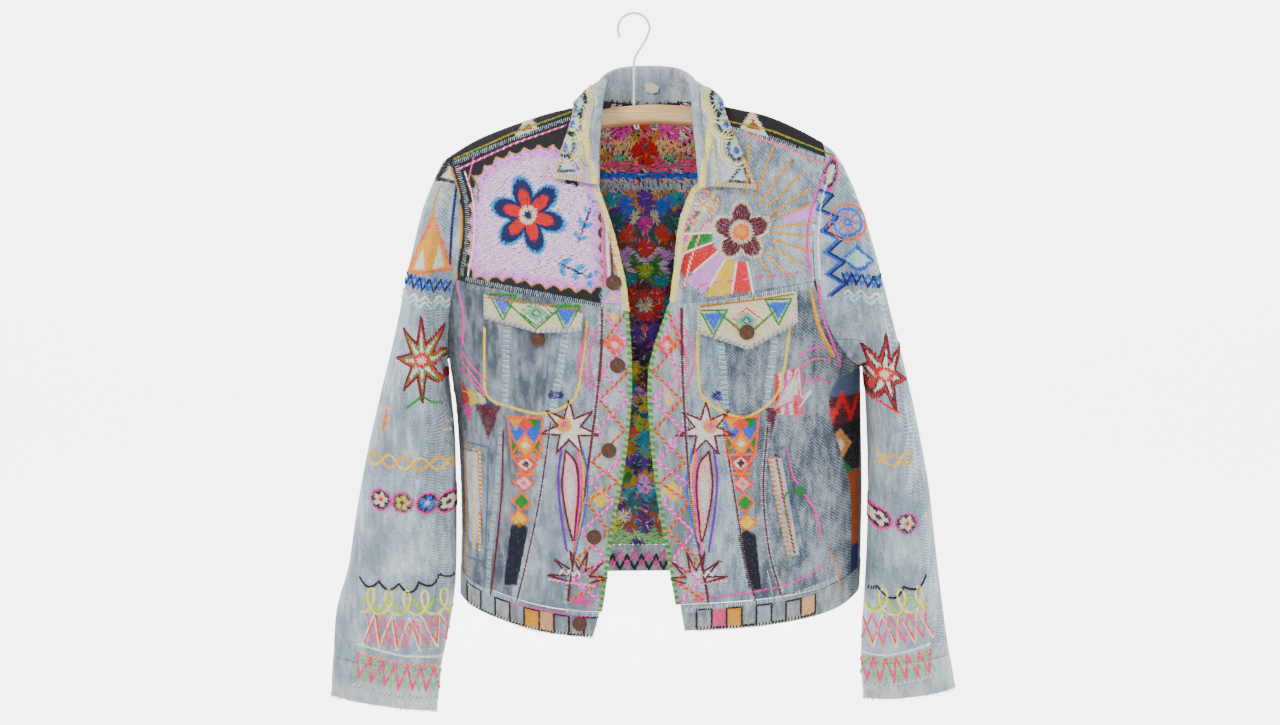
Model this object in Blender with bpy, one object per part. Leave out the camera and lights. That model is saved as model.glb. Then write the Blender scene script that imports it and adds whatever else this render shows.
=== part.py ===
"""Embroidered denim trucker jacket, hanging open on a wooden coat hanger.

Metres, +Z up. The front faces -Y, the wearer's right side is at -X, and the origin is the
point inside the hanger's hook where a rail carries it. Tables hold millimetres; "down" is
the distance below the origin, and angles run round the body from the front (0) past the
side at +X (90) to the back (180).
"""
import math

import bmesh
import bpy
from mathutils import Vector

MM = 0.001

# Cloth
DENIM = 2.0
DOUBLED = 3.0
SEAM_GAP = 0.3
OVERLAY_GAP = 0.3

# Where the four sides of the body stand, by distance down
BODY = (
    # down, left x, right x, front y, back y
    (90, -229, 261, -84, 74),
    (250, -229, 262, -87, 80),
    (330, -226, 263, -89, 84),
    (400, -216, 265, -90, 87),
    (465, -208, 267, -90, 88),
    (540, -205, 269.5, -90, 89),
    (610, -205, 270, -88, 90),
    (660, -207, 269, -85, 90),
    (710, -208, 266, -83, 88),
)
SIDE_Y = 12
SQUARENESS = 2.4

# The shoulder ridge that the hanger carries; between the necks it is the virtual nape line
RIDGE = (
    # x, down
    (-240, 176), (-223, 168), (-177, 141), (-107, 115), (-52, 99), (-20, 74), (16, 60),
    (52, 74), (88, 99), (156, 116.5), (214, 144), (240, 164), (256, 176),
)
ROLL_FRONT = 230
ROLL_BACK = 200
ROLL_POWER = 0.65
CREST = 7
CREST_FALL = 3.5

# Soft troughs in the fronts and back, as (x, down) lines
FOLDS = (
    # x1, down1, x2, down2, width, depth
    (246, 405, 176, 470, 17, 7),
    (210, 480, 150, 640, 20, 4),
    (-196, 420, -150, 520, 20, 4),
    (-110, 500, -132, 640, 16, 2.5),
    (112, 330, 120, 420, 26, 2.5),
    (-120, 360, -112, 430, 26, 2.5),
    (60, 230, 120, 290, 20, 3),
)
BACK_FOLDS = (
    (-170, 230, -60, 420, 30, 5),
    (190, 230, 90, 430, 30, 5),
    (-60, 430, -90, 630, 28, 4),
    (95, 430, 120, 630, 28, 4),
)

# Front edges and seams, x by distance down
EDGE_L = ((190, -40), (199, -38), (243, -23), (316, -7.5), (406, -2), (487, -8), (591, -25),
          (668, -35), (710, -46))
EDGE_R = ((185, 72), (199, 64), (224, 54), (246, 50), (305, 43), (384, 18.5), (429, 16),
          (521, 24), (615, 39), (674, 49), (710, 56))
BAND_L = ((316, -36), (383, -38), (463, -47), (543, -58), (614, -70), (664, -77), (700, -82))
BAND_R = ((316, 54), (383, 55), (463, 59), (543, 66), (614, 77), (658, 85), (700, 90))
VEE_IN_L = ((316, -87), (343, -90), (428, -100), (509, -112), (590, -126), (657, -141),
            (700, -150))
VEE_IN_R = ((300, 92), (360, 95), (451, 101), (520, 113), (590, 123), (656, 138), (700, 146))
VEE_OUT_L = ((300, -138), (343, -140), (428, -145), (509, -148), (590, -156), (651, -163),
             (700, -168))
VEE_OUT_R = ((300, 148), (360, 146), (451, 143), (520, 140), (590, 146), (656, 159), (700, 168))
VEE_BACK_L = ((204, -122), (400, -112), (640, -92))
VEE_BACK_R = ((204, 138), (400, 130), (640, 112))

# Armholes, x by distance down, and the lowest point of each
ARM_FRONT_L = ((150, -209), (165, -212), (194, -201), (224, -194), (246, -193.5), (272, -198),
               (298, -201.5))
ARM_FRONT_R = ((145, 222), (162, 218), (207, 208), (252, 202), (280, 203), (297, 205))
ARM_UNDER = {
    # angle round the body, down
    "L": ((-61, 298), (-66, 325), (-73, 360), (-82, 389), (-92, 397), (-104, 389), (-113, 355),
          (-118.5, 300), (-121, 250), (-122.2, 206)),
    "R": ((46.5, 297), (49, 330), (56, 365), (68, 393), (82, 402), (95, 401), (110, 388),
          (122, 352), (127.5, 300), (130, 250), (131.5, 206)),
}

# Side seams, angle by share of the way from the armhole to the waist seam
SIDE_SEAM_L = ((0, -82), (0.3, -74), (1, -78))
SIDE_SEAM_R = ((0, 76), (0.12, 60), (0.3, 52), (0.45, 58), (0.6, 65), (1, 67))

# Horizontal seams
YOKE_SEAM_L = ((-201.5, 298), (-7, 328))
YOKE_SEAM_R = ((42.5, 317), (205, 297))
BACK_YOKE_DOWN = 206
SHOULDER_SEAM_L = ((-212, 164), (-54, 118))
SHOULDER_SEAM_R = ((218, 160), (87, 119))
WAIST_SEAM = (
    # angle, down; from the front edge at -X round the back to the one at +X
    (-360, 668), (-330, 662), (-305, 652), (-285, 640), (-255, 634), (-180, 642), (-120, 641),
    (-80, 646), (-50, 661), (-25, 675), (0, 677),
)
WAIST_HEIGHT = ((-360, 31), (-180, 33), (0, 29))
WAIST_LIFT = 0.8
WAIST_GAP = 0.8

# Neckline stations from the front neck point at -X, over the back, to the one at +X
NECK = (
    # x, down, 1 on the front and -1 on the back
    (-39, 197, 1), (-46, 163, 1), (-52, 132, 1), (-54, 112, 1), (-52, 102, 0), (-42, 99.5, -1),
    (-18, 100, -1), (16, 102, -1), (50, 100, -1), (74, 99.5, -1), (85, 102, 0), (87, 112, 1),
    (83.5, 132, 1), (77, 163, 1), (74, 190, 1),
)
COLLAR_FOLD = (
    # x, down, y, at the same stations
    (-42, 187, -80), (-41, 152, -76), (-39, 120, -59), (-37, 96, -39), (-35, 79, -15),
    (-30, 67, 19), (-13, 59, 44), (16, 57, 51), (45, 59, 44), (61, 67, 19), (66, 79, -15),
    (67, 96, -39), (69, 122, -59), (73, 155, -76), (77, 189, -83),
)
COLLAR_EDGE = (
    # x, down, 1 on the front and -1 on the back, at the same stations
    (-91, 184, 1), (-81, 156, 1), (-72, 131, 1), (-67, 113, 1), (-66, 103, 0), (-58, 106, -1),
    (-26, 112, -1), (16, 114, -1), (58, 112, -1), (92, 106, -1), (99, 103, 0), (101, 112, 1),
    (109, 131, 1), (122, 160, 1), (137, 196, 1),
)
COLLAR_LIFT = 6.5
COLLAR_CROWN = 4.0
COLLAR_FOOT_LIFT = 1.3
FOLD_RADIUS = 4.8

# Sleeves from just outside the armhole to the cuff, as seen from the front
SLEEVE_L = (
    # outer x, its down, inner x, its down, middle y, half depth
    (-222, 171, -220, 399, 0, 50),
    (-230, 190, -221.5, 402, -2, 60),
    (-240, 216, -221, 407, -4, 68),
    (-251, 262, -218.5, 416, -6, 74),
    (-264, 310, -216, 430, -9, 77),
    (-278, 370, -213, 452, -11, 76),
    (-295, 435, -210, 486, -12, 72),
    (-312, 505, -209, 540, -14, 66),
    (-326, 575, -209, 598, -16, 57),
    (-337, 640, -211, 658, -18, 45),
    (-352, 692, -218, 708, -20, 32),
    (-357, 748, -230, 764, -22, 19),
)
SLEEVE_R = (
    (234, 160, 269, 403, -1, 52),
    (244, 176, 271, 405, -3, 62),
    (254, 200, 271.5, 410, -5, 70),
    (266, 232, 272, 420, -8, 77),
    (280, 280, 272, 434, -12, 82),
    (295, 338, 272.5, 454, -16, 85),
    (312, 400, 273, 482, -19, 85),
    (327, 462, 274, 515, -22, 83),
    (342, 535, 275, 560, -24, 78),
    (351, 600, 274, 616, -25, 68),
    (359, 655, 272, 668, -25, 55),
    (366, 700, 269.5, 712, -25, 41),
    (373, 742, 269, 752, -25, 28),
)
CUFF_L = ((-357.5, 748.7, -229.5, 764.7, -22, 19.4), (-360, 796, -235, 815, -23, 17))
CUFF_R = ((373.3, 742.7, 268.7, 752.7, -25, 28.4), (381, 784, 272.5, 797, -26, 25))
SLEEVE_SEAMS = (135, 315)
ARMHOLE_GAP = 0.8
ARMHOLE_HOLD = (
    # share of the armhole's own shape kept by each of the first rings, and how far outside it
    (0.5, 5), (0.2, 9),
)

# Pocket flaps: each corner as (x, down), with the point of the flap in the middle
FLAP_L = {"top": ((-167, 313), (-58, 330)), "bottom": ((-167, 338), (-108, 351), (-58, 347))}
FLAP_R = {"top": ((72, 323), (181, 308)), "bottom": ((72, 351), (128, 371), (182, 342))}
FLAP_CURL = {"L": 15.0, "R": 2.5}
WELT_L = ((-186, 498), (-183, 606))
WELT_R = ((160, 497), (183, 613))
WELT_HALF_WIDTH = 7

# Corner of the right facing that is turned out over the yoke, width by distance down
TURNED_CORNER = ((197, 4), (213, 36), (231, 25), (250, 12), (284, 3))

# Buttons
BUTTON_RADIUS = 8.6
BUTTON_HEIGHT = 4.0
FRONT_BUTTONS = ((-22, 296), (-18, 389), (-28, 486), (-45, 587), (-62, 691))
FLAP_BUTTON_L = (-107, 361)
FLAP_BUTTON_R = (126, 352)

# Hanger and hook
BAR = (
    # x, top down, half thickness, height
    (-198, 159.9, 4.5, 13), (-190, 154.4, 6.2, 18), (-172, 144.4, 7, 21), (-142, 131.4, 7, 23),
    (-107, 119.4, 7, 23), (-75, 112.9, 7, 23), (-46, 107.9, 7, 23), (10, 101.4, 7, 23),
    (58, 102.9, 7, 23), (80, 106.9, 7, 23), (105, 111.9, 7, 23), (130, 115.4, 7, 23),
    (156, 121.4, 7, 23), (186, 133.4, 7, 22), (206, 143.4, 6.2, 19), (214, 148.4, 4.5, 14),
)
BAR_SIDES = 12
WIRE = 1.4
HOOK_RADIUS = 18
HOOK_NECK = 54
SHANK_FOOT = 102.4

COLOURS = {
    "denim": (0.55, 0.63, 0.68, 1, 0.9, 0),
    "denim_doubled": (0.62, 0.67, 0.69, 1, 0.9, 0),
    "embroidery": (0.05, 0.05, 0.07, 1, 0.9, 0),
    "button": (0.22, 0.15, 0.11, 1, 0.45, 0.8),
    "wood": (0.80, 0.60, 0.36, 1, 0.45, 0),
    "wire": (0.86, 0.86, 0.85, 1, 0.35, 0.3),
}


def through(rows, column=1):
    """A smooth line through one column of a table whose first column rises."""
    keys = [row[0] for row in rows]
    values = [row[column] for row in rows]
    last = len(rows) - 1
    slopes = []
    for i in range(last + 1):
        a, b = max(i - 1, 0), min(i + 1, last)
        slopes.append((values[b] - values[a]) / (keys[b] - keys[a]))

    def at(key):
        if key <= keys[0] or last == 0:
            return values[0]
        if key >= keys[last]:
            return values[last]
        i = max(k for k in range(last) if keys[k] <= key)
        step = keys[i + 1] - keys[i]
        t = (key - keys[i]) / step
        rise = values[i + 1] - values[i]
        bend_in, bend_out = slopes[i] * step - rise, rise - slopes[i + 1] * step
        return values[i] + rise * t + t * (1 - t) * (bend_in * (1 - t) + bend_out * t)

    return at


def rising(rows):
    """The table with its rows ordered by their first column."""
    return tuple(sorted(rows))


def stations(table, share, columns=3):
    """A point on a smooth line through all the rows of a table, at a share of its length."""
    keyed = [(i, *row) for i, row in enumerate(table)]
    key = share * (len(table) - 1)
    return [through(keyed, c + 1)(key) for c in range(columns)]


def blend(a, b, t):
    return a + (b - a) * t


LEFT, RIGHT, FRONT, BACK = (through(BODY, c) for c in (1, 2, 3, 4))
RIDGE_DOWN = through(RIDGE)


def roll(x, down, length):
    """How far the cloth has left the shoulder ridge for its full depth, from 0 to 1."""
    share = min(max((down - RIDGE_DOWN(x)) / length, 0), 1)
    return (1 - (1 - share) ** 2) ** ROLL_POWER


def crest(x, down, rolled):
    """Extra half width of the rounded top that lies over the hanger."""
    reach = max(down - RIDGE_DOWN(x), 0)
    return CREST * (1 - math.exp(-math.sqrt(reach / CREST_FALL))) * (1 - rolled)


def trough(x, down, folds):
    """Depth of the soft folds at one place."""
    depth = 0
    for x1, down1, x2, down2, width, deepest in folds:
        along = Vector((x2 - x1, down2 - down1))
        away = Vector((x - x1, down - down1))
        t = min(max(away.dot(along) / along.length_squared, 0), 1)
        apart = (away - along * t).length
        fullness = 0.35 + 0.65 * math.sin(math.pi * (0.1 + 0.8 * t))
        depth += deepest * math.exp(-((apart / width) ** 2)) * fullness
    return depth


def ring_point(angle, down):
    """A point of the body's outer surface, in millimetres."""
    turn = math.radians(angle)
    across, deep = math.sin(turn), math.cos(turn)
    left, right = LEFT(down), RIGHT(down)
    side = math.copysign(abs(across) ** (2 / SQUARENESS), across)
    x = (left + right) / 2 + (right - left) / 2 * side
    share = abs(deep) ** (2 / SQUARENESS)
    if deep >= 0:
        y = blend(SIDE_Y, FRONT(down), share) + trough(x, down, FOLDS) * share
        rolled = roll(x, down, ROLL_FRONT)
        y = y * rolled - crest(x, down, rolled)
    else:
        y = blend(SIDE_Y, BACK(down), share) - trough(x, down, BACK_FOLDS) * share
        rolled = roll(x, down, ROLL_BACK)
        y = y * rolled + crest(x, down, rolled)
    return Vector((x, y, -down))


def angle_of(x, down, front=True):
    """The angle round the body of a place seen from the front or the back."""
    left, right = LEFT(down), RIGHT(down)
    side = min(max((x - (left + right) / 2) / ((right - left) / 2), -1), 1)
    angle = math.degrees(math.asin(abs(side) ** (SQUARENESS / 2))) * (1 if side > 0 else -1)
    return angle if front else math.copysign(180, side) - angle


def front_point(x, down):
    return ring_point(angle_of(x, down), down)


def back_point(x, down):
    return ring_point(angle_of(x, down, front=False), down)


BACK_CORNER = {side: ring_point(ARM_UNDER[side][-1][0], BACK_YOKE_DOWN).x for side in "LR"}


def straight(line, x):
    """A seam that is straight from one (x, down) end to the other."""
    (x1, down1), (x2, down2) = line
    return blend(down1, down2, (x - x1) / (x2 - x1))


def normal_at(point, u, v, du=0.2, dv=0.5):
    """Outward normal of a surface from two small steps."""
    across = point(u + du, v) - point(u - du, v)
    down = point(u, v + dv) - point(u, v - dv)
    return down.cross(across).normalized()


def collection_for(name):
    group = bpy.data.collections.new(name)
    bpy.context.scene.collection.children.link(group)
    return group


def material(name):
    red, green, blue, alpha, roughness, metallic = COLOURS[name]
    made = bpy.data.materials.get(name)
    if made is None:
        made = bpy.data.materials.new(name)
        made.use_nodes = True
        shader = made.node_tree.nodes["Principled BSDF"]
        shader.inputs["Base Color"].default_value = (red, green, blue, alpha)
        shader.inputs["Roughness"].default_value = roughness
        shader.inputs["Metallic"].default_value = metallic
    return made


def finish(name, shape, finish_name, smooth=True):
    """One closed mesh from a bmesh, as a named object of the jacket."""
    bmesh.ops.recalc_face_normals(shape, faces=shape.faces)
    mesh = bpy.data.meshes.new(name)
    shape.to_mesh(mesh)
    shape.free()
    mesh.materials.append(material(finish_name))
    if smooth:
        mesh.shade_smooth()
        mesh.set_sharp_from_angle(angle=math.radians(50))
    made = bpy.data.objects.new(name, mesh)
    GROUP.objects.link(made)
    return made


def wall(name, outer, inner, finish_name, closed=False):
    """A cloth wall between two grids of points (rows of columns), its edges closed."""
    shape = bmesh.new()
    rows, columns = len(outer), len(outer[0])
    skins = [[[shape.verts.new(p * MM) for p in row] for row in skin] for skin in (outer, inner)]
    spans = columns if closed else columns - 1
    for skin in skins:
        for j in range(rows - 1):
            for i in range(spans):
                k = (i + 1) % columns
                shape.faces.new((skin[j][i], skin[j][k], skin[j + 1][k], skin[j + 1][i]))
    out, back = skins
    for j in (0, rows - 1):
        for i in range(spans):
            k = (i + 1) % columns
            shape.faces.new((out[j][i], out[j][k], back[j][k], back[j][i]))
    if not closed:
        for i in (0, columns - 1):
            for j in range(rows - 1):
                shape.faces.new((out[j][i], out[j + 1][i], back[j + 1][i], back[j][i]))
    return finish(name, shape, finish_name)


def shares(count, stops=()):
    """Even steps from 0 to 1, the nearest one moved to each stop that is asked for."""
    steps = [i / (count - 1) for i in range(count)]
    for stop in stops:
        steps.remove(min(steps[1:-1], key=lambda s: abs(s - stop)))
        steps.append(stop)
    return sorted(steps)


def patch(name, point, corner, columns, rows, thick=DENIM, lift=0.0, finish_name="denim",
          facing=1):
    """A cloth piece on a surface: corner(c, r) gives its (u, v) for shares across and down."""
    def length(c1, r1, c2, r2):
        return (point(*corner(c2, r2)) - point(*corner(c1, r1))).length

    tall = [SEAM_GAP / 2 / length(c, 0, c, 1) for c in columns]
    wide = [SEAM_GAP / 2 / length(0, r, 1, r) for r in rows]
    outer, inner = [], []
    for r, trim_across in zip(rows, wide):
        outer.append([])
        inner.append([])
        for c, trim_down in zip(columns, tall):
            across, down = blend(trim_across, 1 - trim_across, c), blend(trim_down, 1 - trim_down, r)
            u, v = corner(across, down)
            normal = normal_at(point, u, v) * facing
            base = point(u, v)
            raised = lift(across, down) if callable(lift) else lift
            outer[-1].append(base + normal * raised)
            inner[-1].append(base + normal * (raised - thick))
    return wall(name, outer, inner, finish_name)


# Front and back panels between the yoke seams or armholes and the waist seam
WAIST_DOWN = through(WAIST_SEAM)
WAIST_TALL = through(WAIST_HEIGHT)


def top_down(angle, side):
    """Where the lower panels begin: the yoke seam in front and behind, the armhole between."""
    under = ARM_UNDER[side]
    size = abs(angle)
    if size <= abs(under[0][0]):
        line = YOKE_SEAM_L if side == "L" else YOKE_SEAM_R
        down = 310
        for _ in range(6):
            down = straight(line, ring_point(angle, down).x)
        return down
    if size >= abs(under[-1][0]):
        return BACK_YOKE_DOWN
    return through(rising([(abs(a), d) for a, d in under]))(size)


def lower_down(angle, r, side):
    return blend(top_down(angle, side), WAIST_DOWN(around_of(angle, side)), r)


def around_of(angle, side):
    """Left angles are negative already; right ones count back from the closing front edge."""
    return angle if side == "L" else angle - 360


def seam_angle(table, r, side, front=True):
    """Angle of a vertical seam, given by x, at a share of the way down."""
    x_at = through(rising(table))
    down = 480
    for _ in range(6):
        angle = angle_of(x_at(down), down, front)
        if side == "L" and angle > 0 and not front:
            angle -= 360
        down = lower_down(angle, r, side)
    return angle


def lower_patch(name, side, start, end, columns, rows, ease=(1, 1), **more):
    """A panel between two seams, each given as an angle at a share of the way down."""
    def corner(c, r):
        angle = blend(start(0), end(0), c)
        angle += (start(r) - start(0)) * (1 - c) ** ease[0] + (end(r) - end(0)) * c ** ease[1]
        return angle, lower_down(angle, r, side)

    return patch(name, ring_point, corner, columns, rows, **more)


def seam(table, side, front=True):
    known = {}

    def at(r):
        key = round(r, 5)
        if key not in known:
            known[key] = seam_angle(table, r, side, front)
        return known[key]

    return at


def under_angles(side):
    """Angles of the vertices along the lower armhole, in front of and behind the side seam."""
    under = ARM_UNDER[side]
    middle = (SIDE_SEAM_L if side == "L" else SIDE_SEAM_R)[0][1]
    halves = []
    for start, end, count in ((under[0][0], middle, 5), (middle, under[-1][0], 9)):
        fine = [blend(start, end, i / 200) for i in range(201)]
        points = [ring_point(angle, top_down(angle, side)) for angle in fine]
        lengths = [0.0]
        for a, b in zip(points, points[1:]):
            lengths.append(lengths[-1] + (b - a).length)
        marks = [lengths[-1] * i / count for i in range(count + 1)]
        nearest = [min(range(201), key=lambda i: abs(lengths[i] - mark)) for mark in marks]
        halves.append([fine[i] for i in nearest])
    return halves


def lower_panels(side):
    """Band, centre, middle and side fronts, and the side back, of one side."""
    left = side == "L"
    edge = seam(EDGE_L if left else EDGE_R, side)
    band = seam(BAND_L if left else BAND_R, side)
    vee_in = seam(VEE_IN_L if left else VEE_IN_R, side)
    vee_out = seam(VEE_OUT_L if left else VEE_OUT_R, side)
    vee_back = seam(VEE_BACK_L if left else VEE_BACK_R, side, front=False)
    side_at = through(SIDE_SEAM_L if left else SIDE_SEAM_R)
    rows = shares(13)
    lower_patch(f"front_band_{side}", side, edge, band, shares(3), rows, thick=DOUBLED, lift=0.6,
                finish_name="denim_doubled")
    lower_patch(f"front_centre_{side}", side, band, vee_in, shares(3), rows)
    lower_patch(f"front_middle_{side}", side, vee_in, vee_out, shares(4), rows)
    in_front, behind = under_angles(side)
    span = side_at(0) - vee_out(0)
    columns = [(angle - vee_out(0)) / span for angle in in_front]
    lower_patch(f"front_side_{side}", side, vee_out, side_at, [0, columns[0] / 2] + columns, rows,
                ease=(1, 1.5))
    span = vee_back(0) - side_at(0)
    columns = [(angle - side_at(0)) / span for angle in behind]
    columns += [(columns[-1] + 1) / 2, 1]
    lower_patch(f"back_side_{side}", side, side_at, vee_back, columns, rows, ease=(3, 1))
    return vee_back


def back_centre(left_seam, right_seam):
    """The middle back panel between its two long seams."""
    def corner(c, r):
        angle = blend(left_seam(r), right_seam(r) - 360, c)
        down = blend(BACK_YOKE_DOWN, WAIST_DOWN(angle), r)
        return angle, down

    patch("back_centre", ring_point, corner, shares(9), shares(13))


def waistband():
    """One doubled band from front edge to front edge, below the waist seam."""
    def corner(c, r):
        edge_down = blend(677, 706, r)
        start = angle_of(through(EDGE_L)(edge_down), edge_down)
        end = angle_of(through(EDGE_R)(edge_down), edge_down) - 360
        angle = blend(start, end, c)
        top = WAIST_DOWN(angle) + WAIST_GAP
        return angle, top + WAIST_TALL(angle) * r

    patch("waistband", ring_point, corner, shares(49), shares(3), thick=DOUBLED, lift=WAIST_LIFT,
          finish_name="denim_doubled")


# Yokes
def over_ridge(x, root):
    """A shoulder point: the root squared is the distance below the ridge, negative in front."""
    down = RIDGE_DOWN(x) + root * root
    return front_point(x, down) if root < 0 else back_point(x, down)


def signed_root(x, down, side):
    return math.copysign(math.sqrt(max(down - RIDGE_DOWN(x), 0)), side) if side else 0


def rooted(table):
    """Rows of x, down and facing as x and signed root, which stay even over the ridge."""
    return [(x, signed_root(x, down, -facing)) for x, down, facing in table]


def front_yoke_corner(side):
    """Places on a front yoke as x and down, and the rows that it is built with."""
    left = side == "L"
    arm = through(ARM_FRONT_L if left else ARM_FRONT_R)
    edge = through(EDGE_L if left else EDGE_R)
    seam_line = YOKE_SEAM_L if left else YOKE_SEAM_R
    shoulder = SHOULDER_SEAM_L if left else SHOULDER_SEAM_R
    neck_down = 118 if left else 119
    neck_end = (NECK[0] if left else NECK[-1])[1]
    arm_top, arm_end = (164, 298) if left else (160, 297)
    edge_end = 328 if left else 317
    neck = through(rising([(d, x) for x, d, facing in NECK if facing > 0.5 and (x < 16) == left]))

    def corner(c, r):
        down1 = blend(neck_down, edge_end, r)
        x1 = neck(down1) if down1 < neck_end else edge(down1)
        down2 = blend(arm_top, arm_end, r)
        x = blend(x1, arm(down2), c)
        down = blend(down1, down2, c)
        if r > 0.9:
            down = blend(down, straight(seam_line, x), (r - 0.9) / 0.1)
        if r < 0.1:
            down = blend(straight(shoulder, x), down, r / 0.1)
        return x, down

    return corner, shares(9, stops=((neck_end - neck_down) / (edge_end - neck_down),))


def front_yoke(side):
    """Upper front from the shoulder seam to the yoke seam, neckline and edge to armhole."""
    corner, rows = front_yoke_corner(side)
    patch(f"front_yoke_{side}", front_point, corner, shares(8), rows)


BACK_NECK = [(-54, 118, 1)] + [row for row in NECK if row[1] < 118] + [(87, 119, 1)]
BACK_YOKE_NECK = (0.21, 0.84)
BACK_YOKE_ROWS = shares(9)


def back_yoke_corner(c, r):
    """Place on the back yoke as x and signed root; it reaches over the shoulders to the front."""
    start, end = BACK_YOKE_NECK
    if c < start:
        x = blend(-212, -54, c / start)
        root = signed_root(x, straight(SHOULDER_SEAM_L, x), -1)
    elif c > end:
        x = blend(87, 218, (c - end) / (1 - end))
        root = signed_root(x, straight(SHOULDER_SEAM_R, x), -1)
    else:
        x, root = stations(rooted(BACK_NECK), (c - start) / (end - start), 2)
    below = blend(BACK_CORNER["L"], BACK_CORNER["R"], c)
    return blend(x, below, r), blend(root, signed_root(below, BACK_YOKE_DOWN, 1), r)


def back_yoke():
    start, end = BACK_YOKE_NECK
    columns = [start * i / 7 for i in range(7)]
    columns += [blend(start, end, i / 10) for i in range(10)]
    columns += [blend(end, 1, i / 6) for i in range(7)]
    patch("back_yoke", over_ridge, back_yoke_corner, columns, BACK_YOKE_ROWS,
          finish_name="embroidery", facing=-1)


# Collar
def neck_surface(table, share):
    """Point and normal on the shoulder at a station of the neckline or the collar's edge."""
    place = stations(rooted(table), share, 2)
    return over_ridge(*place), -normal_at(over_ridge, *place)


def fold_point(share):
    x, down, y = stations(COLLAR_FOLD, share)
    return Vector((x, y, -down))


def collar_section(share):
    """The collar's visible skin at one station, from its foot over the fold to its edge."""
    foot, up = neck_surface(NECK, share)
    top = fold_point(share)
    along = (fold_point(min(share + 0.01, 1)) - fold_point(max(share - 0.01, 0))).normalized()
    outward = Vector((-along.y, along.x, 0)).normalized()
    rise = along.cross(outward)
    edge, edge_up = neck_surface(COLLAR_EDGE, share)
    edge = edge + edge_up * COLLAR_LIFT
    foot = foot + up * COLLAR_FOOT_LIFT
    top = top + outward * FOLD_RADIUS / 2
    fold = []
    for i in range(5):
        turn = math.pi * i / 4
        sideways, upright = -math.cos(turn), math.sin(turn) - 1
        fold.append(top + outward * FOLD_RADIUS * sideways + rise * FOLD_RADIUS * upright)
    middle = fold[-1].lerp(edge, 0.5) + edge_up * COLLAR_CROWN
    return [foot, foot.lerp(fold[0], 0.5), *fold, middle, edge]


def collar():
    """Stand, fold and fall in one doubled wall, from one front neck point to the other."""
    sections = [collar_section(i / 34) for i in range(35)]
    grid_wall("collar", sections, DENIM, "denim_doubled")


def grid_wall(name, grid, thick, finish_name, closed=False):
    """A wall from one grid of points, offset along the grid's own normals."""
    rows, columns = len(grid), len(grid[0])
    other = []
    for j in range(rows):
        other.append([])
        for i in range(columns):
            if closed:
                across = grid[j][(i + 1) % columns] - grid[j][i - 1]
            else:
                across = grid[j][min(i + 1, columns - 1)] - grid[j][max(i - 1, 0)]
            down = grid[min(j + 1, rows - 1)][i] - grid[max(j - 1, 0)][i]
            normal = down.cross(across).normalized()
            other[-1].append(grid[j][i] - normal * thick)
    return wall(name, grid, other, finish_name, closed)


# Sleeves
def armhole(side):
    """Vertices and normals of the armhole, from the ridge down the front and up the back."""
    end = 0 if side == "L" else 1
    over = [back_yoke_corner(end, r) for r in BACK_YOKE_ROWS]
    over = [(over_ridge(*place), -normal_at(over_ridge, *place)) for place in over]
    top = max(range(len(over)), key=lambda i: over[i][0].z)
    corner, rows = front_yoke_corner(side)
    front = [corner(1, r) for r in rows]
    front = [(front_point(*place), normal_at(front_point, *place)) for place in front]
    in_front, behind = under_angles(side)
    below = [(angle, top_down(angle, side)) for angle in in_front + behind[1:]]
    below = [(ring_point(*place), normal_at(ring_point, *place)) for place in below]
    return over[top:0:-1] + front + below[1:] + over[len(over) - 2:top:-1]


def at_length(points, share):
    """The point at a share of a polyline's length."""
    lengths = [0.0]
    for a, b in zip(points, points[1:]):
        lengths.append(lengths[-1] + (b - a).length)
    wanted = share * lengths[-1]
    for i in range(len(points) - 1):
        if lengths[i + 1] >= wanted:
            step = lengths[i + 1] - lengths[i]
            return points[i].lerp(points[i + 1], (wanted - lengths[i]) / step if step else 0)
    return points[-1].copy()


def sleeve_ring(row, turn):
    """A point of one sleeve ring: turn 0 is outside or on top, 90 in front, 180 inside."""
    ox, odown, ix, idown, y, deep = row
    outer, inner = Vector((ox, y, -odown)), Vector((ix, y, -idown))
    middle, arm = (outer + inner) / 2, (outer - inner) / 2
    angle = math.radians(turn)
    return middle + arm * math.cos(angle) + Vector((0, -deep, 0)) * math.sin(angle)


def hole_turns(loop, low):
    """The turn of each armhole vertex, by its share of the front or the back of the edge."""
    turns = []
    for half, start in ((loop[:low + 1], 0), (loop[low:] + loop[:1], 180)):
        lengths = [0.0]
        for a, b in zip(half, half[1:]):
            lengths.append(lengths[-1] + (b - a).length)
        turns += [start + 180 * length / lengths[-1] for length in lengths[:-1]]
    return turns


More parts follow.
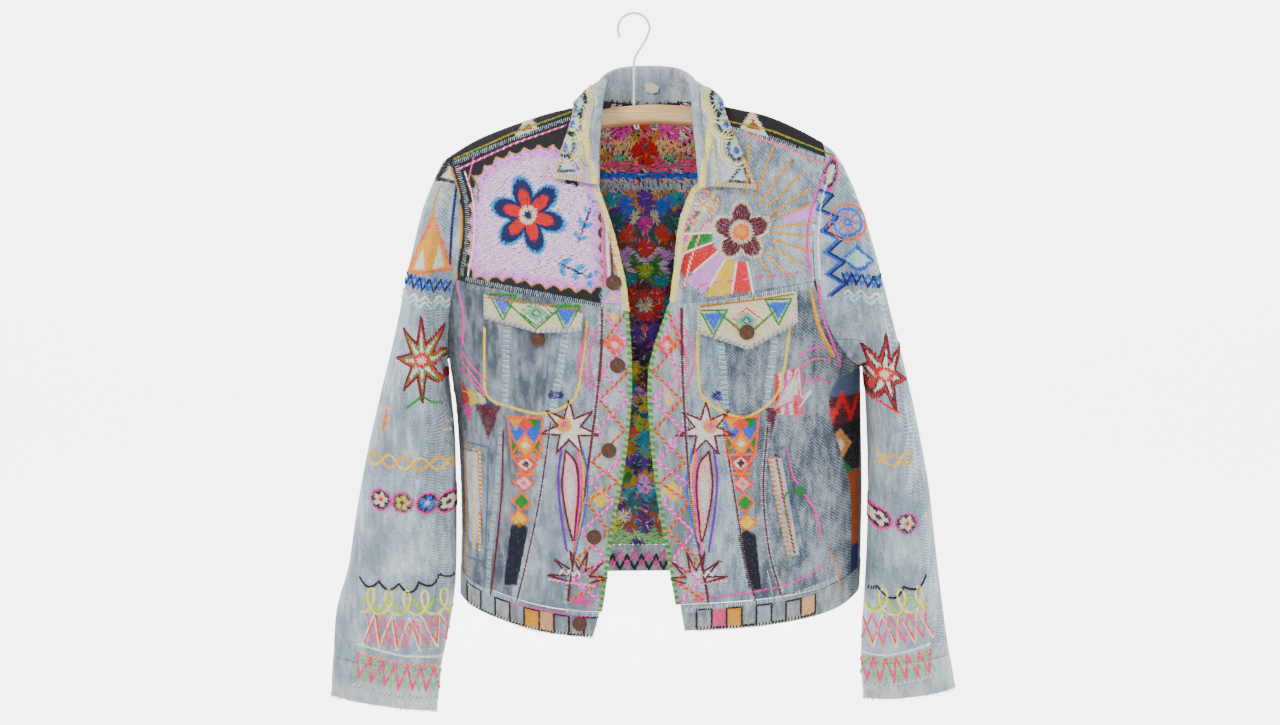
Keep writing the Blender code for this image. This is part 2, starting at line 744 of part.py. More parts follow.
def sleeve(side):
    """Upper and under sleeve from the armhole to the cuff, and the cuff."""
    table = SLEEVE_L if side == "L" else SLEEVE_R
    edge = armhole(side)
    loop = [point for point, normal in edge]
    low = min(range(len(loop)), key=lambda i: loop[i].z)
    turns = hole_turns(loop, low)
    body = dict(zip(turns, (normal for point, normal in edge)))
    for seam_turn in SLEEVE_SEAMS:
        nearest = min(turns, key=lambda t: abs(t - seam_turn))
        turns.remove(nearest)
        for turn in (nearest - 0.25, nearest + 0.25):
            turns.append(turn)
            body[turn] = body[nearest]
    turns.sort()
    columns = len(turns)
    halves = (loop[:low + 1], loop[low:] + loop[:1])
    away = Vector((-1 if side == "L" else 1, 0, 0))

    def hole(turn):
        if turn <= 180:
            return at_length(halves[0], turn / 180)
        return at_length(halves[1], turn / 180 - 1)

    grid = []
    for row, (held, reach) in zip(table, ARMHOLE_HOLD):
        ring = [(sleeve_ring(row, turn), hole(turn) + away * reach) for turn in turns]
        grid.append([free.lerp(fixed, held) for free, fixed in ring])
    for row in table[len(ARMHOLE_HOLD):]:
        grid.append([sleeve_ring(row, turn) for turn in turns])
    start = []
    for turn, ring in zip(turns, grid[0]):
        leaving = ((ring - hole(turn)).normalized() + away).normalized()
        start.append(hole(turn) + leaving * ARMHOLE_GAP)
    grid.insert(0, start)
    last = len(grid) - 1
    turned_out = 1 if side == "L" else -1
    inner = []
    for j, row in enumerate(grid):
        inner.append([])
        for i in range(columns):
            before, after = (i - 1) % columns, (i + 1) % columns
            if (turns[i] - turns[before]) % 360 < 1:
                before = (i - 2) % columns
            if (turns[after] - turns[i]) % 360 < 1:
                after = (i + 2) % columns
            across = row[after] - row[before]
            down = grid[min(j + 1, last)][i] - grid[max(j - 1, 0)][i]
            normal = down.cross(across).normalized() * turned_out
            if j == 0:
                alike = min(max((normal.dot(body[turns[i]]) - 0.2) / 0.5, 0), 1)
                normal = normal.lerp(body[turns[i]], alike).normalized()
            inner[-1].append(row[i] - normal * DENIM)
    first, second = (i for i in range(columns) if (turns[(i + 1) % columns] - turns[i]) % 360 < 1)
    under = list(range(first + 1, second + 1))
    upper = list(range(second + 1, columns)) + list(range(0, first + 1))
    for name, chosen in (("under", under), ("upper", upper)):
        wall(f"sleeve_{name}_{side}", [[row[i] for i in chosen] for row in grid],
             [[row[i] for i in chosen] for row in inner], "denim")
    cuff(side)


def cuff(side):
    """The doubled cuff, a closed band just below the sleeve."""
    top, bottom = CUFF_L if side == "L" else CUFF_R
    turns = [i * 15 for i in range(24)]
    grid, inner = [], []
    for share in (0, 0.5, 1):
        row = [blend(a, b, share) for a, b in zip(top, bottom)]
        grid.append([sleeve_ring(row, turn) for turn in turns])
        thinner = list(row)
        width = row[2] - row[0]
        shrink = DOUBLED / abs(width)
        thinner[0], thinner[2] = row[0] + width * shrink, row[2] - width * shrink
        fall = row[3] - row[1]
        thinner[1], thinner[3] = row[1] + fall * shrink, row[3] - fall * shrink
        thinner[5] = row[5] - DOUBLED
        inner.append([sleeve_ring(thinner, turn) for turn in turns])
    wall(f"cuff_{side}", grid, inner, "denim_doubled", closed=True)


# Flaps, welts and the turned corner
def flap_corner(table):
    def corner(c, r):
        (x1, down1), (x2, down2) = table["top"]
        top = (blend(x1, x2, c), blend(down1, down2, c))
        (x1, down1), (xm, downm), (x2, down2) = table["bottom"]
        if c < 0.5:
            low = (blend(x1, xm, c * 2), blend(down1, downm, c * 2))
        else:
            low = (blend(xm, x2, c * 2 - 1), blend(downm, down2, c * 2 - 1))
        return blend(top[0], low[0], r), blend(top[1], low[1], r)

    return corner


def flap_lift(side):
    def lift(c, r):
        corner_rise = max(c - 0.35, 0) / 0.65 if side == "L" else 0.5
        return OVERLAY_GAP + 2.4 + 0.4 + FLAP_CURL[side] * r * r * corner_rise

    return lift


def pocket_flap(side):
    table = FLAP_L if side == "L" else FLAP_R
    patch(f"pocket_flap_{side}", front_point, flap_corner(table), shares(9), shares(4), thick=2.4,
          lift=flap_lift(side), finish_name="denim_doubled")


def welt(side):
    (x1, down1), (x2, down2) = WELT_L if side == "L" else WELT_R

    def corner(c, r):
        return blend(x1, x2, r) + (c - 0.5) * 2 * WELT_HALF_WIDTH, blend(down1, down2, r)

    patch(f"pocket_welt_{side}", front_point, corner, shares(3), shares(7), thick=1.6,
          lift=1.0 + 1.6, finish_name="denim_doubled")


def turned_corner():
    width = through(TURNED_CORNER)
    edge = through(EDGE_R)

    def corner(c, r):
        down = blend(199, 284, r)
        return edge(down) + 0.5 + width(down) * c, down

    def lift(c, r):
        return 0.9 + DENIM + 1.5 * (1 - c)

    patch("turned_corner", front_point, corner, shares(4), shares(7), lift=lift)


# Buttons, hanger and hook
def button(name, place, normal, turns=12):
    """A tack button: a flat dome with a rolled rim, standing on the cloth."""
    profile = ((0, 0), (5.5, 0), (7.6, 1.2), (BUTTON_RADIUS, 2.4), (7.6, 3.6), (6.2, 3.3),
               (0, BUTTON_HEIGHT))
    across = normal.orthogonal().normalized()
    other = normal.cross(across)
    shape = bmesh.new()
    rings = []
    for radius, height in profile:
        centre = place + normal * height
        if radius == 0:
            rings.append([shape.verts.new(centre * MM)])
            continue
        ring = []
        for k in range(turns):
            turn = 2 * math.pi * k / turns
            spoke = across * math.cos(turn) + other * math.sin(turn)
            ring.append(shape.verts.new((centre + spoke * radius) * MM))
        rings.append(ring)
    for a, b in zip(rings, rings[1:]):
        for k in range(turns):
            n = (k + 1) % turns
            if len(a) == 1:
                shape.faces.new((a[0], b[k], b[n]))
            elif len(b) == 1:
                shape.faces.new((a[k], a[n], b[0]))
            else:
                shape.faces.new((a[k], a[n], b[n], b[k]))
    finish(name, shape, "button")


def front_button(name, x, down, lift):
    angle = angle_of(x, down)
    normal = normal_at(ring_point, angle, down)
    button(name, ring_point(angle, down) + normal * lift, normal)


def buttons():
    for number, (x, down) in enumerate(FRONT_BUTTONS, 1):
        base = 0 if down < 320 else WAIST_LIFT if down > 680 else 0.6
        front_button(f"front_button_{number}", x, down, base + OVERLAY_GAP)
    front_button("pocket_button_L", *FLAP_BUTTON_L, OVERLAY_GAP)
    front_button("pocket_button_R", *FLAP_BUTTON_R, flap_lift("R")(0.5, 0.7) + OVERLAY_GAP)
    for side, table in (("L", CUFF_L), ("R", CUFF_R)):
        row = [blend(a, b, 0.5) for a, b in zip(*table)]
        turn = 300
        place = sleeve_ring(row, turn)
        beside = sleeve_ring(row, turn + 1) - sleeve_ring(row, turn - 1)
        lower = sleeve_ring(table[1], turn) - sleeve_ring(table[0], turn)
        normal = lower.cross(beside).normalized()
        middle = Vector(((row[0] + row[2]) / 2, row[4], -(row[1] + row[3]) / 2))
        if normal.dot(place - middle) < 0:
            normal = -normal
        button(f"cuff_button_{side}", place + normal * OVERLAY_GAP, normal)


def hanger():
    """The bent wooden bar, rounded in section and thinner at its tips."""
    shape = bmesh.new()
    rings = []
    for x, down, half, tall in BAR:
        ring = []
        for k in range(BAR_SIDES):
            turn = 2 * math.pi * (k + 0.5) / BAR_SIDES
            across, up = math.sin(turn), math.cos(turn)
            y = half * math.copysign(abs(across) ** 0.85, across)
            z = -down - tall / 2 + tall / 2 * math.copysign(abs(up) ** 0.85, up)
            ring.append(shape.verts.new((x * MM, y * MM, z * MM)))
        rings.append(ring)
    for a, b in zip(rings, rings[1:]):
        for k in range(BAR_SIDES):
            n = (k + 1) % BAR_SIDES
            shape.faces.new((a[k], a[n], b[n], b[k]))
    shape.faces.new(rings[0])
    shape.faces.new(rings[-1])
    finish("hanger", shape, "wood")


def hook():
    """The wire hook, a straight shank bent over the rail in one plane."""
    centre_z = WIRE - HOOK_RADIUS
    path = [Vector((0, 0, -SHANK_FOOT)), Vector((0, 0, -80)), Vector((0, 0, -HOOK_NECK))]
    path += [Vector((2.5, 0, -46)), Vector((8, 0, -37)), Vector((14, 0, -28))]
    for degrees in range(0, 211, 15):
        turn = math.radians(degrees)
        across, up = math.cos(turn), math.sin(turn)
        path.append(Vector((HOOK_RADIUS * across, 0, centre_z + HOOK_RADIUS * up)))
    shape = bmesh.new()
    rings = []
    for i, point in enumerate(path):
        along = (path[min(i + 1, len(path) - 1)] - path[max(i - 1, 0)]).normalized()
        side = Vector((0, 1, 0))
        up = along.cross(side)
        ring = []
        for k in range(10):
            turn = 2 * math.pi * k / 10
            spoke = side * math.cos(turn) + up * math.sin(turn)
            ring.append(shape.verts.new((point + spoke * WIRE) * MM))
        rings.append(ring)
    for a, b in zip(rings, rings[1:]):
        for k in range(10):
            n = (k + 1) % 10
            shape.faces.new((a[k], a[n], b[n], b[k]))
    shape.faces.new(rings[0])
    shape.faces.new(rings[-1])
    finish("hook", shape, "wire")


def build():
    back_yoke()
    for side in "LR":
        front_yoke(side)
    left_seam = lower_panels("L")
    right_seam = lower_panels("R")
    back_centre(left_seam, right_seam)
    waistband()
    collar()
    for side in "LR":
        sleeve(side)
        pocket_flap(side)
        welt(side)
    turned_corner()
    buttons()
    hanger()
    hook()


for old in list(bpy.data.objects):
    bpy.data.objects.remove(old)
GROUP = collection_for("embroidered_jacket")
build()
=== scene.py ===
"""Looks of the embroidered denim jacket on its wooden hanger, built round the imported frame.

Lengths are millimetres until a mesh is made. "down" is the distance below the hook's origin,
x runs towards the jacket's right side in the picture, and the front faces -Y.
"""
import math

import bpy
import numpy as np
from mathutils.bvhtree import BVHTree
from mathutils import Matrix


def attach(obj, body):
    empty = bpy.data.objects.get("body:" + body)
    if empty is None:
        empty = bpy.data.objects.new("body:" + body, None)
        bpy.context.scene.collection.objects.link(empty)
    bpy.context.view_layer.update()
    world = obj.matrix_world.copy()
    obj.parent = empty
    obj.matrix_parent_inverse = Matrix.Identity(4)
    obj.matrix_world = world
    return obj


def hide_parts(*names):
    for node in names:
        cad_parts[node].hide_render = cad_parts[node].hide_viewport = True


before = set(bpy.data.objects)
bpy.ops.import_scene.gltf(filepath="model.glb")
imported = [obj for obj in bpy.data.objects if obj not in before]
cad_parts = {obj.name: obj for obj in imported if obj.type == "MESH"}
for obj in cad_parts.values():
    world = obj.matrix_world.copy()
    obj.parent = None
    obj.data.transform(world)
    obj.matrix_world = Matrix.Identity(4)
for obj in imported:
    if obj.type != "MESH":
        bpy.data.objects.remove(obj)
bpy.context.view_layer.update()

MM = 0.001

# Studio
# A pale sweep of glowing paper behind and below the hanging jacket, with four soft boxes: key,
# side, front and back. The camera is level with the collar and looks a little down.
CAMERA_AT = (0.007, -2.074, -0.0715)
CAMERA_DROP = 9
LENS = 50.5
SWEEP_DOWN = 1.05
SWEEP_BACK = 1.1
SWEEP_CURVE = 0.8
SWEEP_SIDE = 6
PAPER = (0.90, 0.90, 0.90, 1)
PAPER_GLOW = 4.2


def principled(name, colour, roughness, **sockets):
    made = bpy.data.materials.new(name)
    made.use_nodes = True
    shader = made.node_tree.nodes["Principled BSDF"]
    shader.inputs["Base Color"].default_value = colour
    shader.inputs["Roughness"].default_value = roughness
    for socket, value in sockets.items():
        shader.inputs[socket.replace("_", " ")].default_value = value
    return made, made.node_tree.nodes, made.node_tree.links, shader


def emboss(nodes, links, shader, height, strength, distance):
    """Raise a finish by a pattern."""
    raised = nodes.new("ShaderNodeBump")
    raised.inputs["Strength"].default_value = strength
    raised.inputs["Distance"].default_value = distance
    links.new(height, raised.inputs["Height"])
    links.new(raised.outputs["Normal"], shader.inputs["Normal"])


def fix(made, node):
    """Show a hard piece in place of its solid."""
    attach(made, "root")
    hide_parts(node)


def mesh_object(name, verts, faces, finish, smooth=True):
    """One object from millimetre points and faces."""
    mesh = bpy.data.meshes.new(name)
    mesh.from_pydata((np.asarray(verts).reshape(-1, 3) * MM).tolist(), [], faces)
    mesh.materials.append(finish)
    if smooth:
        mesh.shade_smooth()
    made = bpy.data.objects.new(name, mesh)
    bpy.context.scene.collection.objects.link(made)
    return made


def sweep():
    """Floor and backdrop in one curved sheet."""
    profile = [(-SWEEP_SIDE, -SWEEP_DOWN), (0.2, -SWEEP_DOWN)]
    for i in range(13):
        turn = math.radians(90 * i / 12)
        profile.append((SWEEP_BACK + SWEEP_CURVE * math.sin(turn),
                        -SWEEP_DOWN + SWEEP_CURVE * (1 - math.cos(turn))))
    profile.append((SWEEP_BACK + SWEEP_CURVE, 4))
    verts = [(x * 1000, y * 1000, z * 1000) for y, z in profile for x in (-SWEEP_SIDE, SWEEP_SIDE)]
    faces = [(2 * i, 2 * i + 1, 2 * i + 3, 2 * i + 2) for i in range(len(profile) - 1)]
    made = mesh_object("studio_sweep", verts, faces, paper_finish("studio_paper", 0))
    made.data.materials.append(paper_finish("studio_paper_lit", PAPER_GLOW))
    for face in made.data.polygons:
        face.material_index = int(face.center.y > 0.25)


def paper_finish(name, glow):
    made, nodes, links, shader = principled(name, PAPER, 0.9, Emission_Color=PAPER, Emission_Strength=glow)
    grain = nodes.new("ShaderNodeTexNoise")
    grain.inputs["Scale"].default_value = 60
    bump = nodes.new("ShaderNodeBump")
    bump.inputs["Strength"].default_value = 0.02
    links.new(grain.outputs["Fac"], bump.inputs["Height"])
    links.new(bump.outputs["Normal"], shader.inputs["Normal"])
    # the paper is clear from behind, so that the jacket shows from there too
    side = nodes.new("ShaderNodeNewGeometry")
    clear = nodes.new("ShaderNodeBsdfTransparent")
    either = nodes.new("ShaderNodeMixShader")
    links.new(side.outputs["Backfacing"], either.inputs["Fac"])
    links.new(shader.outputs["BSDF"], either.inputs[1])
    links.new(clear.outputs["BSDF"], either.inputs[2])
    links.new(either.outputs["Shader"], nodes["Material Output"].inputs["Surface"])
    return made


sweep()
camera = bpy.data.objects.new("photo_camera", bpy.data.cameras.new("photo_camera"))
bpy.context.scene.collection.objects.link(camera)
camera.data.lens = LENS
camera.data.sensor_width = 36
camera.location = CAMERA_AT
camera.rotation_euler = (math.radians(90 - CAMERA_DROP), 0, 0)
bpy.context.scene.camera = camera
world = bpy.data.worlds.new("studio")
bpy.context.scene.world = world
world.use_nodes = True
world.node_tree.nodes["Background"].inputs["Color"].default_value = (0.95, 0.97, 1, 1)
world.node_tree.nodes["Background"].inputs["Strength"].default_value = 0.3
for name, place, aim, size, power in (
    ("key_box", (-1.5, -1.5, 1.1), (0, 0, -0.35), 0.9, 60),
    ("side_box", (1.9, -1.3, 0.3), (0, 0, -0.4), 1.0, 34),
    ("front_box", (0.0, -2.6, -0.1), (0, 0, -0.35), 0.7, 16),
    ("back_box", (0.4, 1.7, 1.2), (0, 0, -0.3), 1.5, 6),
):
    lamp = bpy.data.objects.new(name, bpy.data.lights.new(name, "AREA"))
    bpy.context.scene.collection.objects.link(lamp)
    lamp.data.energy = power
    lamp.data.size = size
    lamp.location = place
    aim_at = (lamp.location.copy() - type(lamp.location)(aim))
    lamp.rotation_euler = aim_at.to_track_quat("Z", "Y").to_euler()

# Body of the jacket
# The trunk is a squared tube of washed denim that rolls over the hanger at the shoulders.
# These tables give its four sides, the shoulder ridge, its folds, and the seams on it.
BODY = (
    # down, left x, right x, front y, back y
    (90, -229, 261, -84, 74), (250, -229, 262, -87, 80), (330, -226, 263, -89, 84),
    (400, -216, 265, -90, 87), (465, -208, 267, -90, 88), (540, -205, 269.5, -90, 89),
    (610, -205, 270, -88, 90), (660, -207, 269, -85, 90), (710, -208, 266, -83, 88),
)
SIDE_Y = 12
SQUARENESS = 2.4
RIDGE = (
    # x, down
    (-240, 176), (-223, 168), (-177, 141), (-107, 115), (-52, 99), (-20, 74), (16, 60),
    (52, 74), (88, 99), (156, 116.5), (214, 144), (240, 164), (256, 176),
)
ROLL_FRONT = 230
ROLL_BACK = 200
ROLL_POWER = 0.65
CREST = 7
CREST_FALL = 3.5
FOLDS = (
    # x1, down1, x2, down2, width, depth
    (246, 405, 176, 470, 17, 7), (210, 480, 150, 640, 20, 4), (-196, 420, -150, 520, 20, 4),
    (-110, 500, -132, 640, 16, 2.5), (112, 330, 120, 420, 26, 2.5),
    (-120, 360, -112, 430, 26, 2.5), (60, 230, 120, 290, 20, 3),
)
CREASES = (
    # the finer ones, in the same columns; below nought stands proud
    (-190, 470, -160, 560, 9, 1.6), (-172, 440, -150, 470, 8, 1.4), (235, 430, 190, 500, 9, 2.2),
    (228, 470, 196, 560, 8, 1.6), (205, 430, 240, 455, 7, -1.6), (-60, 560, -75, 650, 9, 1.2),
    (100, 560, 92, 650, 10, 1.3), (-95, 395, -150, 420, 9, 1.5), (110, 400, 165, 430, 9, 1.4),
    (-10, 200, -60, 240, 12, 1.2), (80, 215, 130, 200, 11, 1.4), (-178, 205, -140, 190, 10, 1.5),
    (190, 215, 150, 240, 10, 1.5), (20, 560, 34, 640, 8, -1.2), (-175, 600, -120, 630, 8, 1.3),
    (200, 600, 150, 628, 8, 1.4), (230, 560, 245, 625, 9, 1.5), (-130, 270, -60, 262, 10, 1.2),
)
BACK_FOLDS = (
    (-170, 230, -60, 420, 30, 5), (190, 230, 90, 430, 30, 5), (-60, 430, -90, 630, 28, 4),
    (95, 430, 120, 630, 28, 4), (-150, 480, -110, 560, 12, 2), (160, 470, 130, 560, 12, 2),
    (10, 250, 20, 330, 14, 1.5), (-20, 520, 10, 620, 12, 1.6), (60, 180, 140, 170, 10, 1.2),
    (-80, 175, -130, 170, 10, 1.2),
)
EDGE_L = ((190, -40), (199, -38), (243, -23), (316, -7.5), (406, -2), (487, -8), (591, -25),
          (668, -35), (710, -46))
EDGE_R = ((185, 72), (199, 64), (224, 54), (246, 50), (305, 43), (384, 18.5), (429, 16),
          (521, 24), (615, 39), (674, 49), (710, 56))
BAND_L = ((316, -36), (383, -38), (463, -47), (543, -58), (614, -70), (664, -77), (700, -82))
BAND_R = ((316, 54), (383, 55), (463, 59), (543, 66), (614, 77), (658, 85), (700, 90))
VEE_IN_L = ((316, -87), (343, -90), (428, -100), (509, -112), (590, -126), (657, -141), (700, -150))
VEE_IN_R = ((300, 92), (360, 95), (451, 101), (520, 113), (590, 123), (656, 138), (700, 146))
VEE_OUT_L = ((300, -138), (343, -140), (428, -145), (509, -148), (590, -156), (651, -163), (700, -168))
VEE_OUT_R = ((300, 148), (360, 146), (451, 143), (520, 140), (590, 146), (656, 159), (700, 168))
VEE_BACK_L = ((204, -122), (400, -112), (640, -92))
VEE_BACK_R = ((204, 138), (400, 130), (640, 112))
ARM_FRONT_L = ((150, -209), (165, -212), (194, -201), (224, -194), (246, -193.5), (272, -198),
               (298, -201.5))
ARM_FRONT_R = ((145, 222), (162, 218), (207, 208), (252, 202), (280, 203), (297, 205))
ARM_UNDER = {
    # angle round the body, down
    "L": ((-61, 298), (-66, 325), (-73, 360), (-82, 389), (-92, 397), (-104, 389), (-113, 355),
          (-118.5, 300), (-121, 250), (-122.2, 206)),
    "R": ((46.5, 297), (49, 330), (56, 365), (68, 393), (82, 402), (95, 401), (110, 388),
          (122, 352), (127.5, 300), (130, 250), (131.5, 206)),
}
SIDE_SEAM = {"L": ((0, -82), (0.3, -74), (1, -78)),
             "R": ((0, 76), (0.12, 60), (0.3, 52), (0.45, 58), (0.6, 65), (1, 67))}
YOKE_SEAM = {"L": ((-201.5, 298), (-7, 328)), "R": ((42.5, 317), (205, 297))}
SHOULDER_SEAM = {"L": ((-212, 164), (-54, 118)), "R": ((218, 160), (87, 119))}
BACK_YOKE_DOWN = 206
WAIST_SEAM = ((-360, 668), (-330, 662), (-305, 652), (-285, 640), (-255, 634), (-180, 642),
              (-120, 641), (-80, 646), (-50, 661), (-25, 675), (0, 677))
WAIST_HEIGHT = ((-360, 31), (-180, 33), (0, 29))
GRID = 5.0
LAST = {}


def through(rows, column=1):
    """A smooth line through one column of a table, for single numbers or arrays."""
    keys = np.array([row[0] for row in rows], float)
    values = np.array([row[column] for row in rows], float)
    last = len(rows) - 1
    slopes = np.array([(values[min(i + 1, last)] - values[max(i - 1, 0)])
                       / (keys[min(i + 1, last)] - keys[max(i - 1, 0)]) for i in range(last + 1)])

    def at(key):
        key = np.clip(np.asarray(key, float), keys[0], keys[last])
        i = np.clip(np.searchsorted(keys, key, side="right") - 1, 0, last - 1)
        step = keys[i + 1] - keys[i]
        t = (key - keys[i]) / step
        rise = values[i + 1] - values[i]
        bend_in, bend_out = slopes[i] * step - rise, rise - slopes[i + 1] * step
        return values[i] + rise * t + t * (1 - t) * (bend_in * (1 - t) + bend_out * t)

    return at


def blend(a, b, t):
    return a + (b - a) * t


def unit(v):
    return v / np.maximum(np.linalg.norm(v, axis=-1, keepdims=True), 1e-9)


LEFT, RIGHT, FRONT, BACK = (through(BODY, c) for c in (1, 2, 3, 4))
RIDGE_DOWN = through(RIDGE)


def roll(x, down, length):
    share = np.clip((down - RIDGE_DOWN(x)) / length, 0, 1)
    return (1 - (1 - share) ** 2) ** ROLL_POWER


def crest(x, down, rolled):
    reach = np.maximum(down - RIDGE_DOWN(x), 0)
    return CREST * (1 - np.exp(-np.sqrt(reach / CREST_FALL))) * (1 - rolled)


def trough(x, down, folds):
    """Depth of the soft folds at each place."""
    depth = 0
    for x1, down1, x2, down2, width, deepest in folds:
        ax, ad = x2 - x1, down2 - down1
        t = np.clip(((x - x1) * ax + (down - down1) * ad) / (ax * ax + ad * ad), 0, 1)
        apart = np.hypot(x - x1 - ax * t, down - down1 - ad * t)
        fullness = 0.35 + 0.65 * np.sin(np.pi * (0.1 + 0.8 * t))
        depth = depth + deepest * np.exp(-((apart / width) ** 2)) * fullness
    return depth


def ring(angle, down):
    """Points of the body's outer surface, by angle from the front and distance down."""
    angle, down = np.broadcast_arrays(np.asarray(angle, float), np.asarray(down, float))
    across, deep = np.sin(np.radians(angle)), np.cos(np.radians(angle))
    left, right = LEFT(down), RIGHT(down)
    x = (left + right) / 2 + (right - left) / 2 * np.sign(across) * np.abs(across) ** (2 / SQUARENESS)
    share = np.abs(deep) ** (2 / SQUARENESS)
    front = blend(SIDE_Y, FRONT(down), share) + (trough(x, down, FOLDS)
                                                 + trough(x, down, CREASES) * 1.5) * share
    back = blend(SIDE_Y, BACK(down), share) - trough(x, down, BACK_FOLDS) * share
    rolled = np.where(deep >= 0, roll(x, down, ROLL_FRONT), roll(x, down, ROLL_BACK))
    y = np.where(deep >= 0, front, back) * rolled
    y = y + np.where(deep >= 0, -1, 1) * crest(x, down, rolled)
    return np.stack([x, y, -down], axis=-1)


def angle_of(x, down, front=True):
    left, right = LEFT(down), RIGHT(down)
    side = np.clip((x - (left + right) / 2) / ((right - left) / 2), -1, 1)
    angle = np.degrees(np.arcsin(np.abs(side) ** (SQUARENESS / 2))) * np.where(side > 0, 1, -1)
    return angle if front else np.copysign(180, side) - angle


def front_face(x, down):
    return ring(angle_of(x, down), down)


def back_face(x, down):
    return ring(angle_of(x, down, front=False), down)


def normals(surface, u, v, du=0.2, dv=0.5):
    across = surface(u + du, v) - surface(u - du, v)
    down = surface(u, v + dv) - surface(u, v - dv)
    return unit(np.cross(down, across))


def straight(line, x):
    (x1, down1), (x2, down2) = line
    return blend(down1, down2, (x - x1) / (x2 - x1))


def shell(name, outer, inner, finish, closed=False):
    """A thin cloth wall between two skins of rows and columns, with its edges closed."""
    rows, columns = outer.shape[:2]
    spans = columns if closed else columns - 1
    j, i = np.meshgrid(np.arange(rows - 1), np.arange(spans), indexing="ij")
    k = (i + 1) % columns
    a, b, c, d = j * columns + i, j * columns + k, (j + 1) * columns + k, (j + 1) * columns + i
    quads = np.stack([a, b, c, d], axis=-1).reshape(-1, 4)
    count = rows * columns
    faces = [quads[:, ::-1], quads + count]
    i = np.arange(spans)
    k = (i + 1) % columns
    top = np.stack([i, k, k + count, i + count], axis=-1)
    low = (rows - 1) * columns
    faces += [top, np.stack([k + low, i + low, i + low + count, k + low + count], axis=-1)]
    if not closed:
        j = np.arange(rows - 1) * columns
        faces.append(np.stack([j + columns, j, j + count, j + columns + count], axis=-1))
        j = j + columns - 1
        faces.append(np.stack([j, j + columns, j + columns + count, j + count], axis=-1))
    made = mesh_object(name, np.concatenate([outer.reshape(-1, 3), inner.reshape(-1, 3)]),
                       np.concatenate(faces).tolist(), finish)
    made.data.set_sharp_from_angle(angle=math.radians(60))
    return made


def even(length, step=GRID):
    return np.linspace(0, 1, max(int(round(length / step)) + 1, 3))


def cloth(name, surface, corner, width, height, finish, thick=1.8, lift=0.0, facing=1, seam=0.15):
    """A cloth piece on a surface: corner(c, r) gives its places for shares across and down."""
    def length(c1, r1, c2, r2):
        return np.linalg.norm(surface(*corner(c2, r2)) - surface(*corner(c1, r1)), axis=-1)

    columns, rows = even(width)[None, :], even(height)[:, None]
    wide = seam / length(0 * rows, rows, 0 * rows + 1, rows)
    tall = seam / length(columns, 0 * columns, columns, 0 * columns + 1)
    c, r = blend(wide, 1 - wide, columns), blend(tall, 1 - tall, rows)
    u, v = corner(c, r)
    base, normal = surface(u, v), normals(surface, u, v) * facing
    raised = (lift(c, r) if callable(lift) else lift + 0 * c)[..., None]
    LAST["skin"], LAST["out"] = base + normal * raised, normal
    return shell(name, LAST["skin"], LAST["skin"] - normal * thick, finish)


WAIST_DOWN = through(WAIST_SEAM)
WAIST_TALL = through(WAIST_HEIGHT)
NECK = (
    # x, down, 1 on the front and -1 on the back
    (-39, 197, 1), (-46, 163, 1), (-52, 132, 1), (-54, 112, 1), (-52, 102, 0), (-42, 99.5, -1),
    (-18, 100, -1), (16, 102, -1), (50, 100, -1), (74, 99.5, -1), (85, 102, 0), (87, 112, 1),
    (83.5, 132, 1), (77, 163, 1), (74, 190, 1),
)

